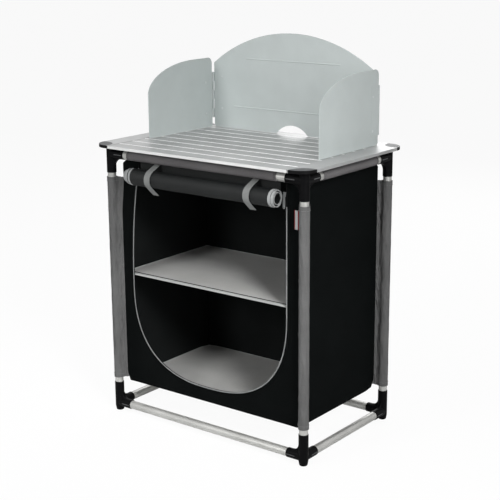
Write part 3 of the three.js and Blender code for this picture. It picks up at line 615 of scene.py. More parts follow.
def spaced(path, pitch, start, length=0.0):
    """Spots at a pitch along a path and the direction ahead, for things of a given length."""
    travelled = 0.0
    for first, second in zip(path, path[1:]):
        span = (second - first).length
        while start + length <= travelled + span:
            share = (start + length / 2 - travelled) / span
            yield first.lerp(second, min(max(share, 0.0), 1.0)), (second - first).normalized()
            start += pitch
        travelled += span


def stepped(corners, step=PANEL_STEP):
    """An outline with points no further apart than a step."""
    outline = []
    for first, second in zip(corners, corners[1:] + corners[:1]):
        a, b = Vector(first), Vector(second)
        count = max(1, ceil((b - a).length / step))
        outline += [a.lerp(b, i / count) for i in range(count)]
    return outline


def without_repeats(outline):
    kept = [outline[0]]
    for point in outline[1:]:
        if hypot(point[0] - kept[-1][0], point[1] - kept[-1][1]) > SAME_SPOT:
            kept.append(point)
    return kept


# Meshes


def smooth_by_angle(mesh, limit=SMOOTH_ANGLE):
    mesh.polygons.foreach_set("use_smooth", [True] * len(mesh.polygons))
    mesh.set_sharp_from_angle(angle=radians(limit))


def mesh_from(bm):
    bmesh.ops.recalc_face_normals(bm, faces=bm.faces)
    mesh = bpy.data.meshes.new("mesh")
    bm.to_mesh(mesh)
    bm.free()
    smooth_by_angle(mesh)
    return mesh


def loft(rings, closed=True, capped=True, uvs=None):
    """Skins rows of points, joining each row's ends where it is closed."""
    bm = bmesh.new()
    rows = [[bm.verts.new(p) for p in ring] for ring in rings]
    layer = bm.loops.layers.uv.new("flat")
    count = len(rows[0])
    for i, (below, above) in enumerate(zip(rows, rows[1:])):
        for k in range(count if closed else count - 1):
            j = (k + 1) % count
            face = bm.faces.new((below[k], below[j], above[j], above[k]))
            if uvs is not None:
                spots = ((i, k), (i, k + 1), (i + 1, k + 1), (i + 1, k))
                for corner, (row, column) in zip(face.loops, spots):
                    corner[layer].uv = uvs(row, column)
    if capped:
        bm.faces.new(list(reversed(rows[0])))
        bm.faces.new(rows[-1])
    return bm


def draped(rings, across, along):
    """The mesh of an open cloth, with how far across and along it each column and row lies."""
    return mesh_from(loft(rings, closed=False, capped=False, uvs=lambda row, k: (across[k], along[row])))


def turned(profile, sides=ROUND):
    """A solid of revolution about Z from [radius, height] points, closed on the axis or on itself."""
    on_axis = profile[0][0] == 0
    bm = bmesh.new()
    rings = []
    for radius, height in profile:
        if radius == 0:
            rings.append([bm.verts.new((0, 0, height))])
            continue
        turns = [2 * pi * k / sides for k in range(sides)]
        rings.append([bm.verts.new((radius * cos(t), radius * sin(t), height)) for t in turns])
    if not on_axis:
        rings.append(rings[0])
    for lower, upper in zip(rings, rings[1:]):
        for k in range(sides):
            j = (k + 1) % sides
            corners = [ring[i % len(ring)] for ring, i in ((lower, k), (lower, j), (upper, j), (upper, k))]
            bm.faces.new(list(dict.fromkeys(corners)))
    return bm


def rod(radius, start, end):
    return turned([(0, start), (radius, start), (radius, end), (0, end)])


def rimmed(inner, outer, start, end, rim, sides=ROUND):
    """A tube about Z with its rims broken, or a rod where its inner radius is zero."""
    profile = [(inner, start), (outer - rim, start), (outer, start + rim)]
    profile += [(outer, end - rim), (outer - rim, end), (inner, end)]
    return turned(profile, sides)


def prism(outline, start, end):
    """Stands an outline of (x, y) points up along Z."""
    return loft([[(x, y, z) for x, y in outline] for z in (start, end)])


def swept(path, radius, squash=1.0):
    """A round cord along a path."""
    rings = []
    side = None
    for i, point in enumerate(path):
        ahead = (path[min(i + 1, len(path) - 1)] - path[max(i - 1, 0)]).normalized()
        if side is None:
            side = ahead.cross(Vector((0, 1, 0)))
            if side.length < 0.1:
                side = ahead.cross(Vector((0, 0, 1)))
        side = (side - ahead * side.dot(ahead)).normalized()
        up = ahead.cross(side)
        turns = [2 * pi * k / SMALL_ROUND for k in range(SMALL_ROUND)]
        rings.append([point + side * radius * cos(t) + up * radius * squash * sin(t) for t in turns])
    return loft(rings)


def joined(*parts):
    """Puts several bmeshes into one."""
    whole = bmesh.new()
    for part in parts:
        mesh = bpy.data.meshes.new("part")
        part.to_mesh(mesh)
        part.free()
        whole.from_mesh(mesh)
        bpy.data.meshes.remove(mesh)
    return whole


def placed(bm, matrix):
    bmesh.ops.transform(bm, matrix=matrix, verts=bm.verts)
    if matrix.determinant() < 0:
        bmesh.ops.reverse_faces(bm, faces=bm.faces)
    return bm


def facing(direction):
    """Turns +Z to a direction."""
    return Vector((0, 0, 1)).rotation_difference(Vector(direction)).to_matrix().to_4x4()


def axes(x, y, z):
    """Turns the three axes to three directions."""
    return Matrix((x, y, z)).transposed().to_4x4()


# Pieces


def shown(name, mesh, *materials):
    thing = bpy.data.objects.new(name, mesh)
    bpy.context.scene.collection.objects.link(thing)
    for material in materials:
        mesh.materials.append(material)
    return thing


def piece(name, mesh, *materials, node=None, slot=None):
    """Puts a mesh in the scene in place of a CAD node, on that node's body, or else on the frame."""
    thing = shown(name, mesh, *materials)
    if node is None:
        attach(thing, "frame")
    else:
        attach(thing, *body_of(frame["nodes"][node]))
        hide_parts(node)
    return thing


def settle(thing):
    """Turns the modifiers of a piece into its mesh."""
    bpy.context.view_layer.update()
    graph = bpy.context.evaluated_depsgraph_get()
    mesh = bpy.data.meshes.new_from_object(thing.evaluated_get(graph))
    thing.modifiers.clear()
    thing.data = mesh


def thicken(thing, thickness):
    layer = thing.modifiers.new("thickness", "SOLIDIFY")
    layer.thickness = thickness
    layer.offset = 0.0
    layer.use_even_offset = False
    settle(thing)


def cloth_piece(name, mesh, material, thickness, limit=None, node=None, slot=None, **sheet):
    """A piece of cloth with its thickness."""
    cloth = piece(name, mesh, material, node=node, slot=slot)
    thicken(cloth, thickness)
    if limit:
        smooth_by_angle(cloth.data, limit)


def faired(thing, limit=SMOOTH_ANGLE):
    """Keeps flat faces flat and rounded edges smooth."""
    smooth_by_angle(thing.data, limit)
    fairing = thing.modifiers.new("fairing", "WEIGHTED_NORMAL")
    fairing.keep_sharp = True
    fairing.weight = 100
    settle(thing)


def rounded(thing, width, limit=SMOOTH_ANGLE):
    rounding = thing.modifiers.new("rounding", "BEVEL")
    rounding.width = width
    rounding.segments = 2
    rounding.limit_method = "ANGLE"
    rounding.angle_limit = radians(limit)
    rounding.use_clamp_overlap = True
    settle(thing)


def combined(thing, other_mesh, operation, *materials, overlaps=False):
    """Cuts another mesh, whose own parts may overlap, from a piece or unites it with the piece."""
    other = shown("other", other_mesh, *materials)
    boolean = thing.modifiers.new(operation.lower(), "BOOLEAN")
    boolean.object = other
    boolean.operation = operation
    boolean.solver = "EXACT"
    boolean.use_self = overlaps
    settle(thing)
    bpy.data.objects.remove(other)


def dressed(node, material, bevel, limit=SMOOTH_ANGLE):
    """A CAD piece with its edges rounded as the real one's are."""
    mesh = frame["nodes"][node].data.copy()
    mesh.materials.clear()
    thing = piece(f"{node}_dressed", mesh, material, node=node)
    weld = thing.modifiers.new("weld", "WELD")
    weld.merge_threshold = SAME_VERTEX
    rounded(thing, bevel, limit)
    faired(thing)
    return thing


# Camera


camera = bpy.data.objects.new("camera", bpy.data.cameras.new("camera"))
bpy.context.scene.collection.objects.link(camera)
bpy.context.scene.camera = camera
camera.data.lens = LENS
camera.data.sensor_width = SENSOR
camera.data.sensor_fit = "HORIZONTAL"
camera.data.clip_end = VIEW_END
camera.location = CAMERA_PLACE
camera.rotation_euler = (
    Matrix.Rotation(radians(CAMERA_AZIMUTH), 3, "Z")
    @ Matrix.Rotation(radians(90 - CAMERA_ELEVATION), 3, "X")
    @ Matrix.Rotation(radians(CAMERA_ROLL), 3, "Z")
).to_euler()


# Tubes and mouldings


def tube(node):
    low, high = (Vector(corner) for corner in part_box(node))
    size = high - low
    length = max(size)
    direction = [int(side == length) for side in size]
    bm = rimmed(TUBE_RADIUS - TUBE_WALL, TUBE_RADIUS, -length / 2, length / 2, TUBE_RIM)
    placed(bm, Matrix.Translation((low + high) / 2) @ facing(direction))
    piece(f"{node}_tube", mesh_from(bm), tube_silver, node=node)


def socket(direction, length):
    return placed(rod(SOCKET_RADIUS, 0, length), facing(direction))


def recess(direction, length):
    """The cut that opens a socket's end."""
    return placed(rod(BORE_RADIUS, length - BORE_DEPTH, length + BORE_DEPTH), facing(direction))


def web(axis, radius, leg):
    """The quarter-round fillet between the leg, up or down, and a rail."""
    along, out = RAIL_AXES[axis]
    reach = SOCKET_RADIUS + radius
    outline = [(0, 0), (reach, 0), *arc(reach, reach, radius, -pi / 2, -pi, 10), (0, reach)]
    return placed(prism(outline, -WEB_HALF, WEB_HALF), axes(along, (0, 0, leg), out))


def slot_cut(axis, length):
    """The long shallow slot on the outer face of a rail's socket, its faces in a paler grey as a painted
    highlight.
    """
    along, out = RAIL_AXES[axis]
    middle = (BORE_FLOOR + length) / 2
    radius = SLOT_WIDTH / 2
    half = SLOT_LENGTH / 2 - radius
    outline = arc(middle + half, 0, radius, -pi / 2, pi / 2, 6)
    outline += arc(middle - half, 0, radius, pi / 2, 3 * pi / 2, 6)
    bar = prism(outline, SOCKET_RADIUS - SLOT_DEPTH, SOCKET_RADIUS + BORE_DEPTH)
    # the slot's faces take the paler grey, a painted highlight
    for face in bar.faces:
        face.material_index = 1
    return placed(bar, axes(along, (0, 0, 1), out))


def moulding(core, rail_socket, leg, leg_socket, web_radius):
    """Melts a core, its sockets and webs into one with soft inner corners, then cuts the bores and slots."""
    rails = [along for along, _ in RAIL_AXES.values()]
    solids = [*core, *(socket(rail, rail_socket) for rail in rails)]
    solids += [web(axis, web_radius, leg) for axis in RAIL_AXES]
    cuts = [*(recess(rail, rail_socket) for rail in rails), recess((0, 0, leg), leg_socket)]
    cuts += [slot_cut(axis, rail_socket) for axis in RAIL_AXES]
    body = shown("moulding", mesh_from(joined(*solids)), black_plastic, slot_highlight_plastic)
    remesh = body.modifiers.new("melt", "REMESH")
    remesh.mode = "VOXEL"
    remesh.voxel_size = MOULD_VOXEL
    soften = body.modifiers.new("soften", "SMOOTH")
    soften.factor = 0.5
    soften.iterations = 5
    thin = body.modifiers.new("thin", "DECIMATE")
    thin.ratio = KEPT_FACES_SHARE
    settle(body)
    combined(body, mesh_from(joined(*cuts)), "DIFFERENCE", black_plastic, slot_highlight_plastic, overlaps=True)
    mesh = body.data
    bpy.data.objects.remove(body)
    return mesh


def upper_moulding():
    hub = rod(SOCKET_RADIUS, -UPPER_SOCKET, HUB_RISE)
    peg = rod(PEG_RADIUS, 0, HUB_RISE + PEG_HEIGHT)
    return moulding([hub, peg], UPPER_SOCKET, -1, UPPER_SOCKET, UPPER_WEB_RADIUS)


def lower_moulding():
    floor = -LOWER_RAIL_Z
    middle, height = FOOT_RADIUS - FOOT_ROUNDING, floor + FOOT_ROUNDING
    profile = [(0, floor), *arc(middle, height, FOOT_ROUNDING, -pi / 2, 0, 6)]
    profile += [(SOCKET_RADIUS, floor + FOOT_TAPER), (SOCKET_RADIUS, LOWER_LEG_SOCKET), (0, LOWER_LEG_SOCKET)]
    return moulding([turned(profile)], LOWER_SOCKET, 1, LOWER_LEG_SOCKET, LOWER_WEB_RADIUS)


def add_frame():
    for node in frame["nodes"]:
        if "_tube_" in node or "_rail_" in node:
            tube(node)
    for level, master, height in (
        ("upper", upper_moulding(), UPPER_RAIL_Z),
        ("lower", lower_moulding(), LOWER_RAIL_Z),
    ):
        for place, (side_x, side_y) in PLACES.items():
            mesh = master.copy()
            spot = Matrix.Translation((side_x * LEG_X, side_y * LEG_Y, height))
            flip = Matrix.Diagonal((-side_x, -side_y, 1, 1))
            mesh.transform(spot @ flip)
            if flip.determinant() < 0:
                mesh.flip_normals()
            smooth_by_angle(mesh, MOULD_ANGLE)
            node = f"{level}_corner_{place}"
            piece(f"{node}_moulding", mesh, node=node)


# Body's outlines


def top_draw(x, y, z):
    """How far the front left corner is drawn in towards its top, by the weight of the rolled door."""
    share = smoothstep(BODY_X - TOP_DRAW_REACH, BODY_X, -x) * smoothstep(BODY_Y - TOP_DRAW_REACH, BODY_Y, -y)
    return TOP_DRAW * share * smoothstep(TOP_DRAW_FROM, TOP_DRAW_TO, z)


def drawn(x, y, z):
    """A point of the body's cloth, drawn in near the corners below the sleeves that hold them."""
    pull = (
        smoothstep(BODY_X - CORNER_REACH, BODY_X, abs(x))
        * smoothstep(BODY_Y - CORNER_REACH, BODY_Y, abs(y))
        * smoothstep(BODY_BOTTOM + CORNER_HEIGHT, BODY_BOTTOM, z)
    )
    side_x = 1 if x > 0 else -1
    side_y = 1 if y > 0 else -1
    shift = side_x * pull * CORNER_DRAW.x + top_draw(x, y, z)
    return Vector((x + shift, y + side_y * pull * CORNER_DRAW.y, z + pull * CORNER_DRAW.z))


def opening_edge(out=0.0):
    """The door opening's edge as (x, z) points, moved outwards by out."""
    drop = OPENING_CURVE_TOP - OPENING_BOTTOM
    rise = OPENING_TOP - OPENING_CURVE_TOP
    curve_steps, side_steps = 96, 24
    shares = [i / side_steps for i in range(side_steps)]
    points = [
        Vector((-OPENING_HALF + OPENING_DRAW * (1 - s) ** OPENING_DRAW_POWER, OPENING_TOP - rise * s))
        for s in shares
    ]
    for i in range(curve_steps + 1):
        turn = pi * i / curve_steps
        side = -1 if i * 2 < curve_steps else 1
        x = side * abs(cos(turn)) ** (2 / OPENING_POWER) * OPENING_HALF
        points.append(Vector((x, OPENING_CURVE_TOP - max(sin(turn), 0.0) ** (2 / OPENING_POWER) * drop)))
    points += [Vector((OPENING_HALF, OPENING_TOP - rise * s)) for s in reversed(shares)]
    moved = []
    for i, point in enumerate(points):
        ahead = points[min(i + 1, len(points) - 1)] - points[max(i - 1, 0)]
        moved.append(point + Vector((ahead.y, -ahead.x)).normalized() * out)
    return moved


def shoulder(half, tunnel_end):
    """The round upper corner of a wall, from its side edge to the end of its tunnel."""
    reach = half - tunnel_end
    shares = [(abs(cos(t)) ** SHOULDER_POWER, sin(t) ** SHOULDER_POWER) for t in spread(0, pi / 2, 8)]
    return [(tunnel_end + reach * across, SHOULDER_Z + SHOULDER_RISE * up) for across, up in shares]


def wall_outline(half, tunnel_from, tunnel_to):
    """A wall's outline as (across, z) points, with its upper corners cut round."""
    left = [(-x, z) for x, z in reversed(shoulder(half, -tunnel_from))]
    corners = [(-half, BODY_BOTTOM), (half, BODY_BOTTOM), *shoulder(half, tunnel_to)]
    return stepped(corners + [(tunnel_to, UPPER_RAIL_Z), (tunnel_from, UPPER_RAIL_Z)] + left)


def front_cuts(half):
    """The four cuts that the front wall is sewn from, round the door opening, with their flat sizes."""
    edge = [tuple(round(value, 6) for value in point) for point in opening_edge()]
    first = next(i for i, (_, z) in enumerate(edge) if z <= OPENING_CURVE_TOP)
    last = len(edge) - 1 - next(i for i, (_, z) in enumerate(reversed(edge)) if z <= OPENING_CURVE_TOP)
    lower = [(-half, BODY_BOTTOM), (half, BODY_BOTTOM), (half, OPENING_CURVE_TOP)]
    lower += [*reversed(edge[first:last + 1]), (-half, OPENING_CURVE_TOP)]
    right = [(half, OPENING_CURVE_TOP), *shoulder(half, TUNNEL_RIGHT), (TUNNEL_RIGHT, OPENING_TOP)]
    right += reversed(edge[last:])
    left = [(-half, OPENING_CURVE_TOP), *reversed(edge[:first + 1])]
    left += [(TUNNEL_LEFT, OPENING_TOP), *((-x, z) for x, z in reversed(shoulder(half, -TUNNEL_LEFT)))]
    top = [(TUNNEL_LEFT, OPENING_TOP), (TUNNEL_RIGHT, OPENING_TOP)]
    top += [(TUNNEL_RIGHT, UPPER_RAIL_Z), (TUNNEL_LEFT, UPPER_RAIL_Z)]
    strip = half - OPENING_HALF + OPENING_DRAW
    tall = UPPER_RAIL_Z - OPENING_CURVE_TOP
    return {
        "lower": (stepped(lower), (2 * half, OPENING_CURVE_TOP - BODY_BOTTOM)),
        "left": (stepped(left), (strip, tall)),
        "right": (stepped(right), (half - OPENING_HALF, tall)),
        "top": (stepped(top), (TUNNEL_RIGHT - TUNNEL_LEFT, UPPER_RAIL_Z - OPENING_TOP)),
    }


# Walls


def stitches(name, path, normal, material):
    """A row of stitches along a path, as short threads that lie on the cloth."""
    bm = bmesh.new()
    out = Vector(normal)
    sides = len(STITCH_SECTION_SHARES)
    for middle, ahead in spaced(path, STITCH_PITCH, STITCH_PITCH / 2, STITCH_LENGTH):
        side = ahead.cross(out).normalized()
        rings = []
        for step, swell in STITCH_SHARES:
            centre = middle + ahead * STITCH_LENGTH * step
            corners = [(side * a + out * b) * STITCH_RADIUS * swell for a, b in STITCH_SECTION_SHARES]
            rings.append([bm.verts.new(centre + corner) for corner in corners])
        for low, high in zip(rings, rings[1:]):
            for k in range(sides):
                j = (k + 1) % sides
                bm.faces.new((low[k], low[j], high[j], high[k]))
        bm.faces.new(list(reversed(rings[0])))
        bm.faces.new(rings[-1])
    piece(name, mesh_from(bm), material, slot="webbing")


def inside(points, loop):
    """Tells which points lie inside a loop."""
    within = np.zeros(len(points), dtype=bool)
    x, y = points[:, 0], points[:, 1]
    for (ax, ay), (bx, by) in zip(loop, np.roll(loop, -1, axis=0)):
        if ay != by:
            within ^= ((ay > y) != (by > y)) & (x < (bx - ax) * (y - ay) / (by - ay) + ax)
    return within


def panel(outline, place, step=PANEL_STEP):
    """A cloth panel cut to an outline and placed by a function, with its flat area."""
    edge = np.array([tuple(p) for p in outline])
    low, high = edge.min(axis=0), edge.max(axis=0)
    grid = np.array([
        (x + (step / 2 if row % 2 else 0), z)
        for row, z in enumerate(np.arange(low[1] + step / 2, high[1], step))
        for x in np.arange(low[0] + step / 2, high[0], step)
    ])

    def margin(x, z):
        return float(np.min(np.hypot(edge[:, 0] - x, edge[:, 1] - z)))

    kept = inside(grid, edge)
    least = step * PANEL_MARGIN_SHARE
    points = [Vector(p) for p in outline]
    points += [Vector(p) for p, is_kept in zip(grid, kept) if is_kept and margin(*p) > least]
    count = len(outline)
    links = [(i, (i + 1) % count) for i in range(count)]
    flat, _, faces, *_ = geometry.delaunay_2d_cdt(points, links, [], 1, SAME_KNOT)
    bm = bmesh.new()
    layer = bm.loops.layers.uv.new("flat")
    verts = [bm.verts.new(place(p.x, p.y, smoothstep(0.0, PANEL_EDGE, margin(p.x, p.y)))) for p in flat]
    area = 0.0
    for face in faces:
        made = bm.faces.new([verts[i] for i in face])
        for loop, i in zip(made.loops, face):
            loop[layer].uv = flat[i]
        area += abs(geometry.area_tri(*(flat[i].to_3d() for i in face)))
    bmesh.ops.delete(bm, geom=[v for v in bm.verts if not v.link_faces], context="VERTS")
    return mesh_from(bm), area


def creases(across, z, seed):
    """Low waves in a stretched wall, and finer ones that run down from its upper corners."""
    broad_length, broad_depth = BROAD_CREASE
    fine_length, fine_depth = FINE_CREASE
    broad = ripple(across, 0, z, broad_length, seed) * broad_depth
    pulled = ripple(across * 0.6 + z * 0.5, 0, z * 0.25, fine_length, seed + 7) * fine_depth
    return broad + pulled * smoothstep(FINE_CREASE_FROM, FINE_CREASE_TO, z)


def front_place(x, z, free):
    return drawn(x, -WALL_Y + creases(x, z, 3) * free * FRONT_CREASE_SHARE, z)


def back_place(x, z, free):
    return drawn(x, WALL_Y + creases(x, z, 11) * free, z)


def side_place(sign, seed):
    """Places a side wall, which leans out above its shoulder to hang from the rail."""
    def place(y, z, free):
        lean = max(0.0, (z - SHOULDER_Z) / (UPPER_RAIL_Z - SHOULDER_Z))
        seam_x = LEG_X - SOCKET_RADIUS + CLOTH / 2
        x = WALL_X + (seam_x - WALL_X) * min(lean, 1.0) + creases(y, z, seed) * free
        return drawn(sign * x, y, z)
    return place


def wall(side, name, outline, place, material, flat):
    mesh, area = panel(outline, place)
    cloth_piece(name, mesh, material, CLOTH, CLOTH_ANGLE, node=f"{side}_wall", flat=flat, held="stretched",
                rests_on=[f"upper_rail_{side}"], area=area)


def add_walls():
    half = BODY_X - CLOTH / 2
    height = UPPER_RAIL_Z - BODY_BOTTOM
    for cut, (outline, flat) in front_cuts(half).items():
        wall("front", f"front_wall_{cut}_cloth", outline, front_place, black_cloth, flat)
    broad = wall_outline(half, TUNNEL_LEFT, TUNNEL_RIGHT)
    deep = wall_outline(WALL_Y, -SIDE_TUNNEL_END, SIDE_TUNNEL_END)
    for side, outline, place, width, material in (
        ("back", broad, back_place, 2 * half, lining_cloth),
        ("left", deep, side_place(-1, 19), 2 * WALL_Y, lining_cloth),
        ("right", deep, side_place(1, 27), 2 * WALL_Y, black_cloth),
    ):
        wall(side, f"{side}_wall_cloth", outline, place, material, (width, height))


def round_rail(axis, centre, place, radius, turn):
    """A point at a place along a rail, a radius away from its middle."""
    across, up = radius * cos(turn), radius * sin(turn)
    if axis == "X":
        return Vector((place, centre[1] + across, centre[2] + up))
    return Vector((centre[0] + across, place, centre[2] + up))


def tunnel(side, axis, start, end, centre, seed):
    """The sleeve round a rail that a wall hangs from, with its hemmed ends."""
    length = end - start
    rows = 60
    rings = []
    for place in spread(start, end, rows):
        near_end = min(place - start, end - place)
        hem = TUNNEL_HEM_RISE * (1 - smoothstep(TUNNEL_HEM, TUNNEL_HEM + TUNNEL_HEM_EDGE, near_end))
        ring = []
        for turn in spread(0, 2 * pi, ROUND)[:-1]:
            spot = (place, cos(turn) * TUNNEL_REACH, sin(turn) * TUNNEL_REACH)
            swell = TUNNEL_SWELL * (1 + ripple(*spot, TUNNEL_WAVE, seed))
            radius = TUNNEL_RADIUS + hem + swell * smoothstep(0, TUNNEL_REACH, near_end)
            ring.append(round_rail(axis, centre, place, radius, turn))
        rings.append(ring)
    girth = 2 * pi * TUNNEL_RADIUS
    mesh = mesh_from(loft(rings, capped=False, uvs=lambda row, k: (length * row / rows, girth * k / ROUND)))
    name = f"upper_rail_{side}_tunnel"
    cloth_piece(name, mesh, tunnel_cloth, TUNNEL_CLOTH, slot="dark_grey_cloth", flat=(length, girth),
                held="stretched", rests_on=[f"upper_rail_{side}"])
    for label, place in (("start", start + TUNNEL_STITCH), ("end", end - TUNNEL_STITCH)):
        ring = [round_rail(axis, centre, place, HEM_RADIUS, turn) for turn in spread(0, 2 * pi, 24)]
        stitches(f"{name}_hem_{label}", ring, (0, 0, 1), thread)


def add_tunnels():
    for side, side_y, seed in (("front", -1, 5), ("back", 1, 4)):
        tunnel(side, "X", TUNNEL_LEFT, TUNNEL_RIGHT, (0, side_y * LEG_Y, UPPER_RAIL_Z), seed)
    for side, side_x, seed in (("left", -1, 4), ("right", 1, 5)):
        tunnel(side, "Y", -SIDE_TUNNEL_END, SIDE_TUNNEL_END, (side_x * LEG_X, 0, UPPER_RAIL_Z), seed)


def add_body_seams():
    """The piping up the body's corners, and the stitches of its lower hem."""
    heights = spread(BODY_BOTTOM + BODY_PIPING_START, SHOULDER_Z - BODY_PIPING_STOP, 59)
    for place, (side_x, side_y) in PLACES.items():
        corner = [drawn(side_x * (BODY_X - CLOTH / 2), side_y * WALL_Y, z) for z in heights]
        piece(f"body_piping_{place}", mesh_from(swept(corner, BODY_PIPING)), black_cloth, slot="black_cloth")
    height = BODY_BOTTOM + BODY_HEM
    for side, side_y in (("front", -1), ("back", 1)):
        ends = spread(BODY_HEM_STOP - BODY_X, BODY_X - BODY_HEM_STOP, 89)
        hem = [drawn(x, side_y * (WALL_Y + BODY_HEM_OUT), height) for x in ends]
        stitches(f"body_hem_{side}", hem, (0, side_y, 0), thread)
    for side, side_x in (("left", -1), ("right", 1)):
        ends = spread(BODY_HEM_STOP - BODY_Y, BODY_Y - BODY_HEM_STOP, 89)
        hem = [drawn(side_x * (WALL_X + BODY_HEM_OUT), y, height) for y in ends]
        stitches(f"body_hem_{side}", hem, (side_x, 0, 0), thread)


# Leg sleeves


def sleeve_section(reach):
    """(u, v, web share) points from the body's corner round the leg and back, u from the leg inwards."""
    tangent = acos(SLEEVE_RADIUS / SLEEVE_SEAM)
    out = [(reach + (SLEEVE_SEAM - reach) * share, SLEEVE_LAYER, 1 - share) for share in spread(0, 1, 8)]
    around = [(u, v, 0.0) for u, v in arc(0, 0, SLEEVE_RADIUS, tangent, 2 * pi - tangent, 40)]
    return out + around + [(u, -v, share) for u, v, share in reversed(out)]


def sleeve_fold(u, v, web_share, z, hem, seed):
    """Moves a point of the section by its folds: slanting ones in the web, low ones round the leg."""
    if web_share == 0:
        swell = SLEEVE_SWELL * (1 + ripple(u, v, z, SLEEVE_WAVE, seed + 5)) + hem
        grown = 1 + swell / hypot(u, v)
        return u * grown, v * grown
    slack = smoothstep(0, 0.4, web_share) * smoothstep(1.0, 0.7, web_share)
    wander = SLEEVE_WANDER * ripple(0, 0, z, SLEEVE_PATCH, seed)
    turn = 2 * pi * (z + wander - SLEEVE_LEAN * web_share) / SLEEVE_PITCH
    depth = SLEEVE_FOLD * (0.5 + ripple(0, 0, z, SLEEVE_PATCH, seed + 3))
    return u, v + sin(turn) * depth * slack + (hem if v > 0 else -hem)


def sleeve(place, side_x, side_y, seed):
    node = f"leg_sleeve_{place}"
    low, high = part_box(node)
    bottom, top = low[2], high[2]
    height = top - bottom
    leg = Vector((side_x * LEG_X, side_y * LEG_Y))
    corner = Vector((side_x * BODY_X, side_y * BODY_Y))
    inward = (corner - leg).normalized()
    across = Vector((-inward.y, inward.x))
    section = sleeve_section((corner - leg).length)
    lengths = [0.0, *accumulate(hypot(c - a, d - b) for (a, b, _), (c, d, _) in zip(section, section[1:]))]
    rows = 110
    rings = []
    for share in spread(0, 1, rows):
        ring = []
        for u, v, web_share in section:
            slant = SLEEVE_SLANT * web_share
            z = bottom + slant + (height - slant) * share
            hem_share = 1 - smoothstep(SLEEVE_HEM, SLEEVE_HEM + SLEEVE_HEM_EDGE, min(z - bottom, top - z))
            u, v = sleeve_fold(u, v, web_share, z, SLEEVE_HEM_RISE * hem_share, seed)
            spot = leg + inward * u + across * v
            pulled = drawn(corner.x, corner.y, z) - Vector((corner.x, corner.y, z))
            ring.append(Vector((spot.x, spot.y, z)) + pulled * web_share)
        rings.append(ring)
    cloth_piece(f"{node}_cloth", draped(rings, lengths, spread(0, height, rows)), grey_cloth, SLEEVE_CLOTH,
                CLOTH_ANGLE, node=node, flat=(lengths[-1], height), held="stretched",
                rests_on=[f"leg_tube_{place}_tube"])
    for label, z in (("low", bottom + SLEEVE_STITCH), ("high", top - SLEEVE_STITCH)):
        ring = []
        for u, v, web_share in section:
            if web_share == 0:
                spot = leg + (inward * u + across * v) * (1 + SLEEVE_STITCH_OUT / hypot(u, v))
                ring.append(Vector((spot.x, spot.y, z)))
        stitches(f"{node}_stitch_{label}", ring, (0, 0, 1), pale_thread)


def add_sleeves():
    for seed, (place, (side_x, side_y)) in enumerate(PLACES.items()):
        sleeve(place, side_x, side_y, 3.0 + 5 * seed)


def add_tag():
    """The tag sewn to the front right sleeve, red with a pale band."""
    columns, rows = 14, 11
    start = LEG_X - SOCKET_RADIUS
    shares = spread(0, 1, columns)
    edge = [(start - TAG_WIDTH * s, -LEG_Y - TAG_GAP - TAG_BULGE * sin(pi * s)) for s in shares]
    rings = [[(x, y, z) for x, y in edge] for z in spread(TAG_BOTTOM, TAG_BOTTOM + TAG_HEIGHT, rows)]
    mesh = draped(rings, spread(0, TAG_WIDTH, columns), spread(0, TAG_HEIGHT, rows))
    tag = piece("side_tag", mesh, tag_tape, binding_tape, slot="grey_cloth")
    for face in tag.data.polygons:
        face.material_index = int(abs(face.center.x - start + TAG_WIDTH / 2) < TAG_WIDTH * TAG_BAND_SHARE)
    thicken(tag, TAG_THICKNESS)


# Boards


def board_profile(front, back):
    """The (y, z) section of a covered board about its middle: round piping, a sunk seam and the top."""
    lip = front + PIPING_SEAM
    groove = BOARD_HALF - SEAM_DEPTH
    top_start, top_end = lip + SEAM_WIDTH, back - BOARD_ROUNDING
    return [
        *arc(front + BOARD_HALF, 0, BOARD_HALF, pi / 2, 3 * pi / 2, 8),
        *((y, -BOARD_HALF) for y in spread(lip, top_end, 40)),
        (back, BOARD_ROUNDING - BOARD_HALF),
        (back, BOARD_HALF - BOARD_ROUNDING),
        *((y, BOARD_HALF) for y in spread(top_end, top_start, 40)),
        (top_start - SEAM_SLOPE, groove),
        (lip + SEAM_SLOPE, groove),
        (lip, BOARD_HALF),
    ]


def board(node):
    low, high = (Vector(corner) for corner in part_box(node))
    profile = board_profile(low.y, high.y)
    middle = (low.z + high.z) / 2
    seam_end = low.y + PIPING_SEAM + SEAM_WIDTH
    columns = 63
    places = spread(low.x, high.x, columns)
    rings = []
    for x in places:
        ring = []
        for y, z in profile:
            sag = 0.0
            if z == BOARD_HALF and y > seam_end:
                ends = min(x - low.x, high.x - x)
                sag = BOARD_SAG * (ripple(x, y, 0, BOARD_WAVE, 5) - smoothstep(0.0, BOARD_WAVE, ends))
            ring.append(drawn(x, y, middle + z + min(sag, 0.0)))
        rings.append(ring)
    run = run_along([(*point, 0) for point in profile + profile[:1]])
    mesh = mesh_from(loft(rings, uvs=lambda row, k: (places[row] - low.x, run[k])))
    cover = piece(f"{node}_cover", mesh, board_cloth, piping_tape, seam_shade_cloth, node=node)
    for face in cover.data.polygons:
        if face.center.y < low.y + PIPING_SEAM:
            face.material_index = 1
        # the sunk seam's faces take the near-black cloth as painted shade
        elif face.center.y < seam_end and face.center.z > middle:
            face.material_index = 2
    smooth_by_angle(cover.data, EDGE_ANGLE)
    edge_x, edge_y = high.x - EDGE_CORD, high.y - EDGE_CORD
    front = low.y + 2 * PIPING_SEAM
    corners = [(-edge_x, front), (-edge_x, edge_y), (edge_x, edge_y), (edge_x, front)]
    path = [drawn(x, y, high.z) for x, y in stepped(corners)[:-1]]
    cords = [swept(pair, EDGE_CORD) for pair in zip(path, path[1:]) if max(p.y for p in pair) > front]
    piece(f"{node}_piping", mesh_from(joined(*cords)), piping_tape, slot="grey_cloth")


# Zip


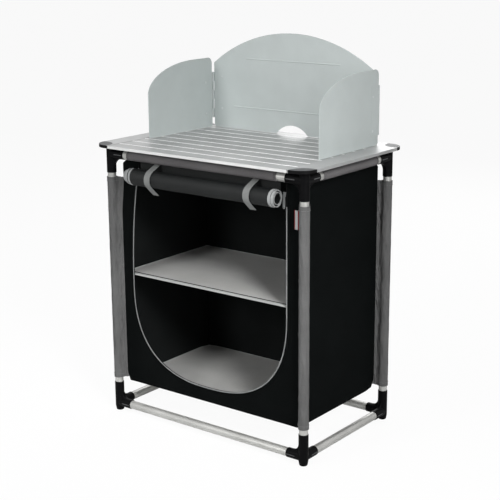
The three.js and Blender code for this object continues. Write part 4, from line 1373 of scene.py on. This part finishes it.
def tooth(centre, ahead):
    inward = Vector((-ahead.z, 0, ahead.x))
    bm = bmesh.new()
    bmesh.ops.create_cube(bm, size=1.0)
    bmesh.ops.bevel(bm, geom=bm.edges, offset=TOOTH_BEVEL_SHARE, segments=1, affect="EDGES")
    spot = Matrix.Translation(centre - inward * TOOTH_SINK)
    return placed(bm, spot @ axes(ahead, (0, 1, 0), inward) @ Matrix.Diagonal((*TOOTH, 1)))


def add_zip():
    """The chain, dark above the places where the roll shades it, its tape and the tape's seams."""
    line = [drawn(p.x, ZIP_Y, p.y) for p in opening_edge(ZIP_OVERLAP)]
    teeth = [tooth(*spot) for spot in spaced(line, TOOTH_PITCH, TOOTH_PITCH)]
    bm = joined(swept(line, ZIP_RADIUS, ZIP_SQUASH_SHARE), *teeth)
    chain = piece("door_zip_teeth", mesh_from(bm), zip_plastic, thread, node="door_zip")
    # teeth above these heights take the dark thread material as painted shadow of the roll
    for face in chain.data.polygons:
        face.material_index = int(face.center.z > CHAIN_SHADES[face.center.x > 0])
    inner = opening_edge(TAPE_START)
    outer = opening_edge(TAPE_START + TAPE_WIDTH)
    rings = []
    for a, b in zip(inner, outer):
        spots = [a.lerp(b, share) for share in TAPE_SHARES]
        rings.append([drawn(spot.x, -BODY_Y - TAPE_OUT, spot.y) for spot in spots])
    total = run_along(inner)[-1]
    mesh = draped(rings, spread(0, TAPE_WIDTH, len(TAPE_SHARES) - 1), spread(0, total, len(rings) - 1))
    cloth_piece("door_zip_tape", mesh, black_cloth, TAPE_THICKNESS, slot="dark_grey_cloth",
                flat=(TAPE_WIDTH, total), held="stretched", rests_on=["front_wall_lower_cloth"])
    for label, out in TAPE_SEAMS.items():
        seam = [drawn(p.x, -BODY_Y - TAPE_SEAM_OUT, p.y) for p in opening_edge(out)]
        stitches(f"door_zip_stitch_{label}", seam, (0, -1, 0), thread)


# Rolled door


def roll_reach(turn):
    """The X of the rolled sheet's left and right edges after a number of turns."""
    turn = max(turn, 0.0)
    right_step = ROLL_RIGHT_STEP * smoothstep(*ROLL_RIGHT_TURNS, turn)
    return ROLL_LEFT - ROLL_LEFT_STEP * turn, ROLL_RIGHT + right_step


def roll_radius(turn):
    """The spiral's radius, whose last turns hang slack inside the first ones."""
    return ROLL_RADIUS - ROLL_PITCH * turn - ROLL_SLACK * smoothstep(*ROLL_SLACK_TURNS, turn)


def roll_spot(x, turn, depth=0.0):
    """A point of the rolled sheet, depth outwards from its middle. Turns below 0 are the tail above."""
    if turn < 0:
        rise = (ROLL_TAIL_TOP - ROLL_Z) * -turn
        return Vector((x, ROLL_Y + ROLL_RADIUS + depth, ROLL_Z + rise))
    angle = 2 * pi * turn
    out = Vector((0, cos(angle), -sin(angle)))
    left, right = roll_reach(turn)
    around = (ROLL_ROUND * cos(angle), ROLL_ROUND * sin(angle) + ROLL_DRIFT * turn)
    bulge = ripple(x, *around, ROLL_BROAD, 31) * ROLL_BULGE
    bulge += ripple(x * ROLL_FINE_SHARE, *around, ROLL_FINE, 47) * ROLL_BULGE / 2
    grip = max(exp(-((x - middle) / STRAP_GRIP) ** 2) for middle, _ in STRAPS.values())
    free = smoothstep(0.0, ROLL_FREE_TURNS, turn) * (1 - grip)
    free *= smoothstep(0.0, ROLL_FADE, min(x - left, right - x))
    radius = roll_radius(turn) + depth + bulge * free - ROLL_BULGE * grip
    return Vector((x, ROLL_Y, ROLL_Z)) + out * radius


def roll_turns():
    """The turns at which the rolled sheet has a row of points, its tail first."""
    tail = [-1 + i / TAIL_ROWS for i in range(TAIL_ROWS)]
    return tail + [i / TURN_ROWS for i in range(ROLL_TURNS * TURN_ROWS + 1)]


def roll_binding(label, side, width, run):
    """The tape folded over an edge of the rolled sheet."""
    half = ROLL_SHEET / 2 + BINDING_LAYER
    strips = []
    for turn in roll_turns()[TAIL_ROWS:]:
        lip = roll_reach(turn)[side > 0] + side * BINDING_LAYER
        outer, inner = lip - side * width, lip - side * BINDING_INSIDE
        corners = [(outer, half), (lip, half), (lip, -half), (inner, -half)]
        strips.append([roll_spot(x, turn, depth) for x, depth in corners])
    reel = loft(strips, uvs=lambda row, k: (width * k / 2, run[row + TAIL_ROWS]))
    return piece(f"door_roll_binding_{label}", mesh_from(reel), binding_tape, slot="webbing")


def add_roll():
    columns = 96
    spots = [[roll_spot(x, turn) for x in spread(*roll_reach(turn), columns)] for turn in roll_turns()]
    run = run_along([row[columns // 2] for row in spots])
    width = (spots[-1][-1] - spots[-1][0]).x
    mesh = draped(spots, spread(0, width, columns), run)
    roll = piece("door_roll_cloth", mesh, door_cloth, node="door_roll")
    thicken(roll, ROLL_SHEET)
    smooth_by_angle(roll.data, CLOTH_ANGLE)
    bindings = [roll_binding("left", -1, LEFT_BINDING, run), roll_binding("right", 1, RIGHT_BINDING, run)]


def off_roll(radius, turn, run):
    """A (y, z) point at a turn round the roll, moved on along the tangent."""
    y = ROLL_Y + radius * cos(turn) - run * sin(turn)
    return y, ROLL_Z + radius * sin(turn) + run * cos(turn)


def add_straps():
    """Each strap comes off its seam above the roll, goes round under it and hangs down behind."""
    middle = ROLL_RADIUS + ROLL_SPACE + STRAP_THICKNESS / 2
    seam_out = ROLL_RADIUS - ROLL_SPACE
    seam_up = ROLL_TAIL_TOP - ROLL_Z
    distance = hypot(seam_out, seam_up)
    start = atan2(seam_up, seam_out) + acos(middle / distance)
    slant = sqrt(distance ** 2 - middle ** 2)
    columns = 8
    for label, (x, tail) in STRAPS.items():
        path = [off_roll(middle, start, run) for run in spread(-slant, 0, 12)[:-1]]
        path += [off_roll(middle, turn, 0) for turn in spread(start, STRAP_END, 40)]
        for share in spread(0, 1, 12)[1:]:
            y, z = off_roll(middle, STRAP_END, tail * share)
            path.append((y + STRAP_CURL * share ** 2, z))
        run = run_along(path)
        across = spread(x - STRAP_WIDTH / 2, x + STRAP_WIDTH / 2, columns)
        mesh = draped([[(u, y, z) for u in across] for y, z in path], spread(0, STRAP_WIDTH, columns), run)
        cloth_piece(f"door_strap_{label}_webbing", mesh, webbing, STRAP_THICKNESS, EDGE_ANGLE,
                    node=f"door_strap_{label}", flat=(STRAP_WIDTH, run[-1]), held="hung",
                    rests_on=["door_roll_cloth"])


# Slider, puller and worktop


def add_slider():
    for node in ("zip_slider", "zip_puller"):
        dressed(node, zip_steel, ZIP_RIM, MOULD_ANGLE)


def add_worktop():
    """The slats, with a painted highlight in paler metal along the first one's front lip, the side profiles
    and the corner caps.
    """
    for node in frame["nodes"]:
        if "_slat_" in node:
            slat = dressed(node, slat_silver, SLAT_RIM).data
            slat.materials.append(lip_highlight_silver)
            # the first slat's lower front faces take the paler metal as a painted highlight
            front = min(face.center.y for face in slat.polygons) + LIP_DEPTH
            for face in slat.polygons:
                is_lip = face.center.y < front and face.center.z < SLAT_TOP - LIP_DEPTH
                face.material_index = int(node.endswith("_1") and is_lip)
        elif "_profile_" in node:
            dressed(node, profile_silver, PROFILE_RIM)
        elif "_cap_" in node:
            dressed(node, cap_plastic, CAP_RIM)


# Windscreen


def screen_back_outline():
    """The arched back plate as (x, z) points from its own middle, with the half moon for a hose."""
    half = HINGE_X - PLATE_FROM_AXIS
    r = SCREEN_CORNER
    arch_radius = (half ** 2 + ARCH_RISE ** 2) / (2 * ARCH_RISE)
    arch_turn = asin(half / arch_radius)
    arch = SCREEN_SIDE + ARCH_RISE - arch_radius
    hose = HOSE_HEIGHT - HOSE_RADIUS
    hose_turn = asin(-hose / HOSE_RADIUS)
    return [
        (-half + r, 0),
        *arc(0, hose, HOSE_RADIUS, pi - hose_turn, hose_turn, 48),
        *arc(half - r, r, r, -pi / 2, 0, 8),
        *arc(0, arch, arch_radius, pi / 2 - arch_turn, pi / 2 + arch_turn, 120),
        *arc(-half + r, r, r, pi, 3 * pi / 2, 8),
    ]


def screen_wing_outline():
    """A wing as (y, z) points, y forward of the hinge's axis."""
    rear = -PLATE_FROM_AXIS
    front = rear - WING_LENGTH
    length, rise = WING_CURVE
    rear_radius = WING_REAR_RADIUS
    return [
        (front, 0),
        *arc(rear - SCREEN_CORNER, SCREEN_CORNER, SCREEN_CORNER, -pi / 2, 0, 8),
        *arc(rear - rear_radius, WING_HEIGHT - rear_radius, rear_radius, 0, pi / 2, 12),
        *arc(front + length, WING_HEIGHT - rise, length, pi / 2, pi, 48, rise),
    ]


def rib(reach, height, radius, back):
    """A rib stamped along the back plate, its section cut off flat at the given depth."""
    centre = RIB_RADIUS - RIB_STANDOUT
    cut = asin(min((back - centre) / radius, 1.0))
    section = spread(pi - cut, 2 * pi + cut, 16)
    rows = []
    for side, start in ((-1, -pi / 2), (1, 0)):
        for turn in spread(start, start + pi / 2, 8):
            grown = max(radius * cos(turn), RIB_TIP)
            x = side * reach + radius * sin(turn)
            rows.append([(x, centre + grown * sin(t), height + grown * cos(t)) for t in section])
    return mesh_from(loft(rows))


def rivet(at, direction):
    """A low domed head, its flat side on the plate."""
    dome = arc(0, RIVET_EDGE, RIVET_RADIUS, 0, pi / 2, 6, RIVET_RISE)[:-1]
    head = turned([(0, 0), (RIVET_RADIUS, 0), *dome, (0, RIVET_EDGE + RIVET_RISE)], PIN_ROUND)
    for face in head.faces:
        face.material_index = 1
    return placed(head, Matrix.Translation(at) @ facing(direction))


def slab(low, high):
    bm = bmesh.new()
    bmesh.ops.create_cube(bm, size=1.0)
    size = Vector(high) - Vector(low)
    middle = (Vector(high) + Vector(low)) / 2
    placed(bm, Matrix.Translation(middle) @ Matrix.Diagonal((*size, 1)))
    bmesh.ops.bevel(bm, geom=bm.edges, offset=SLAB_RIM, segments=1, affect="EDGES")
    return bm


def leaf(first_knuckle, rivets):
    """A hinge leaf about its pin: it runs towards -X on the plate's outer (+Y) face."""
    length = HINGE_LENGTH / KNUCKLES
    face = AXIS_INSET + SHEET
    parts = [slab((-LEAF_WIDTH, face, 0), (-PLATE_FROM_AXIS, face + LEAF_THICKNESS, HINGE_LENGTH))]
    for k in range(first_knuckle, KNUCKLES, 2):
        low, high = k * length + KNUCKLE_GAP / 2, (k + 1) * length - KNUCKLE_GAP / 2
        parts.append(rimmed(PIN_RADIUS, BARREL_RADIUS, low, high, RIM, HINGE_ROUND))
        parts.append(slab((-PLATE_FROM_AXIS - RIM, face, low), (0, BARREL_RADIUS, high)))
    for height in rivets:
        parts.append(rivet((-RIVET_FROM_AXIS, AXIS_INSET, height), (0, -1, 0)))
        parts.append(rivet((-RIVET_FROM_AXIS, face + LEAF_THICKNESS, height), (0, 1, 0)))
    return joined(*parts)


def add_screen_back():
    outline = without_repeats(screen_back_outline())
    plate = placed(prism(outline, 0, SHEET), axes((1, 0, 0), (0, 0, 1), (0, 1, 0)))
    back = piece("windscreen_back_plate", mesh_from(plate), screen_grey, node="windscreen_back")
    rounded(back, RIM)
    for reach, height in RIBS:
        combined(back, rib(reach, height, RIB_RADIUS - SHEET, 2 * SHEET), "DIFFERENCE")
        combined(back, rib(reach, height, RIB_RADIUS, RIB_RADIUS - RIB_STANDOUT), "UNION")
    back.data.transform(Matrix.Translation((SCREEN_SHIFT, SCREEN_FACE_Y, SCREEN_BOTTOM)))
    back.data.materials.clear()
    back.data.materials.append(screen_grey)
    faired(back, PLATE_ANGLE)


def add_screen_side(side, sign):
    """A wing with its hinge: the two leaves and their pin."""
    axis = Vector((SCREEN_SHIFT + sign * HINGE_X, HINGE_Y, SCREEN_BOTTOM))
    mirror = Matrix.Diagonal((sign, 1, 1, 1))
    sideways = Matrix.Translation((AXIS_INSET, 0, 0)) @ axes((0, 1, 0), (0, 0, 1), (1, 0, 0))
    plate = prism(without_repeats(screen_wing_outline()), 0, SHEET)
    placed(plate, Matrix.Translation(axis) @ mirror @ sideways)
    node = f"windscreen_wing_{side}"
    wing = piece(f"{node}_plate", mesh_from(plate), screen_grey, node=node)
    rounded(wing, RIM)
    faired(wing, PLATE_ANGLE)
    hinge = Matrix.Translation(axis + Vector((0, 0, HINGE_BOTTOM))) @ mirror
    swapped = axes((0, 1, 0), (1, 0, 0), (0, 0, 1))
    for name, matrix, first, rivets in (
        ("back", hinge, 0, BACK_RIVETS),
        ("wing", hinge @ swapped, 1, WING_RIVETS),
    ):
        node = f"hinge_{name}_leaf_{side}"
        mesh = mesh_from(placed(leaf(first, rivets), matrix))
        piece(f"{node}_plate", mesh, screen_grey, bright_steel, node=node)
    pin = rimmed(0, PIN_RADIUS, -KNUCKLE_GAP, HINGE_LENGTH + KNUCKLE_GAP, RIM, PIN_ROUND)
    node = f"hinge_pin_{side}"
    piece(f"{node}_rod", mesh_from(placed(pin, hinge)), bright_steel, node=node)


# Room: a pale floor, soft lamps and a white surround


def add_surround():
    """White for what the camera and reflections see, and faint for the rest of the light."""
    world = bpy.data.worlds.new("world")
    bpy.context.scene.world = world
    world.use_nodes = True
    world.node_tree.nodes.clear()
    sky = Nodes(world.node_tree)
    path = sky.add("LightPath").outputs
    seen = sky.math("MAXIMUM", path["Is Camera Ray"], path["Is Glossy Ray"])
    seen = sky.math("MAXIMUM", seen, path["Is Transmission Ray"])
    ambient = sky.add("Background", Strength=AMBIENT)
    white = sky.add("Background", Color=(1.0, 1.0, 1.0, 1.0), Strength=1.0)
    sky.add("OutputWorld", Surface=sky.mix(seen, ambient, white))


def add_floor():
    bm = bmesh.new()
    bmesh.ops.create_grid(bm, x_segments=2, y_segments=2, size=FLOOR_HALF)
    shader = Shader("floor", Roughness=0.9, Specular_IOR_Level=0.0)
    shader.paint(shader.ramp(shader.noise(FLOOR_PATCHES, 2.0), (246, 246, 246), (250, 250, 250)))
    share = shader.math("MULTIPLY", shader.add("LightPath").outputs["Is Camera Ray"], FLOOR_GLOW)
    glowing = shader.mix(share, shader.surface, shader.add("Emission", Strength=1.0))
    shader.feed(shader.nodes["Material Output"].inputs["Surface"], glowing)
    shown("floor", mesh_from(bm), shader.material)


def aim(name, lamp, target, azimuth, elevation, distance):
    """Puts a lamp at a distance from its target, azimuth from the front towards the right."""
    turn, rise = radians(azimuth), radians(elevation)
    away = Vector((sin(turn) * cos(rise), -cos(turn) * cos(rise), sin(rise)))
    holder = shown(name, lamp)
    holder.location = target + away * distance
    holder.rotation_euler = away.to_track_quat("Z", "Y").to_euler()


def add_lamps():
    for name, (azimuth, elevation, distance, width, height, power) in LAMPS.items():
        lamp = bpy.data.lights.new(name, "AREA")
        lamp.shape = "RECTANGLE"
        lamp.size = width
        lamp.size_y = height
        lamp.energy = power
        aim(name, lamp, LAMP_TARGET, azimuth, elevation, distance)
    key = bpy.data.lights.new("key", "SPOT")
    key.energy = KEY_POWER
    key.shadow_soft_size = KEY_RADIUS
    key.spot_size = radians(KEY_CONE)
    key.spot_blend = KEY_BLEND
    aim("key", key, KEY_TARGET, KEY_AZIMUTH, KEY_ELEVATION, KEY_DISTANCE)


add_frame()
add_walls()
add_tunnels()
add_body_seams()
add_sleeves()
add_tag()
board("middle_shelf")
board("bottom_board")
add_zip()
add_roll()
add_straps()
add_slider()
add_worktop()
add_screen_back()
add_screen_side("left", -1)
add_screen_side("right", 1)
bpy.context.scene.view_settings.view_transform = "Standard"
add_surround()
add_floor()
add_lamps()
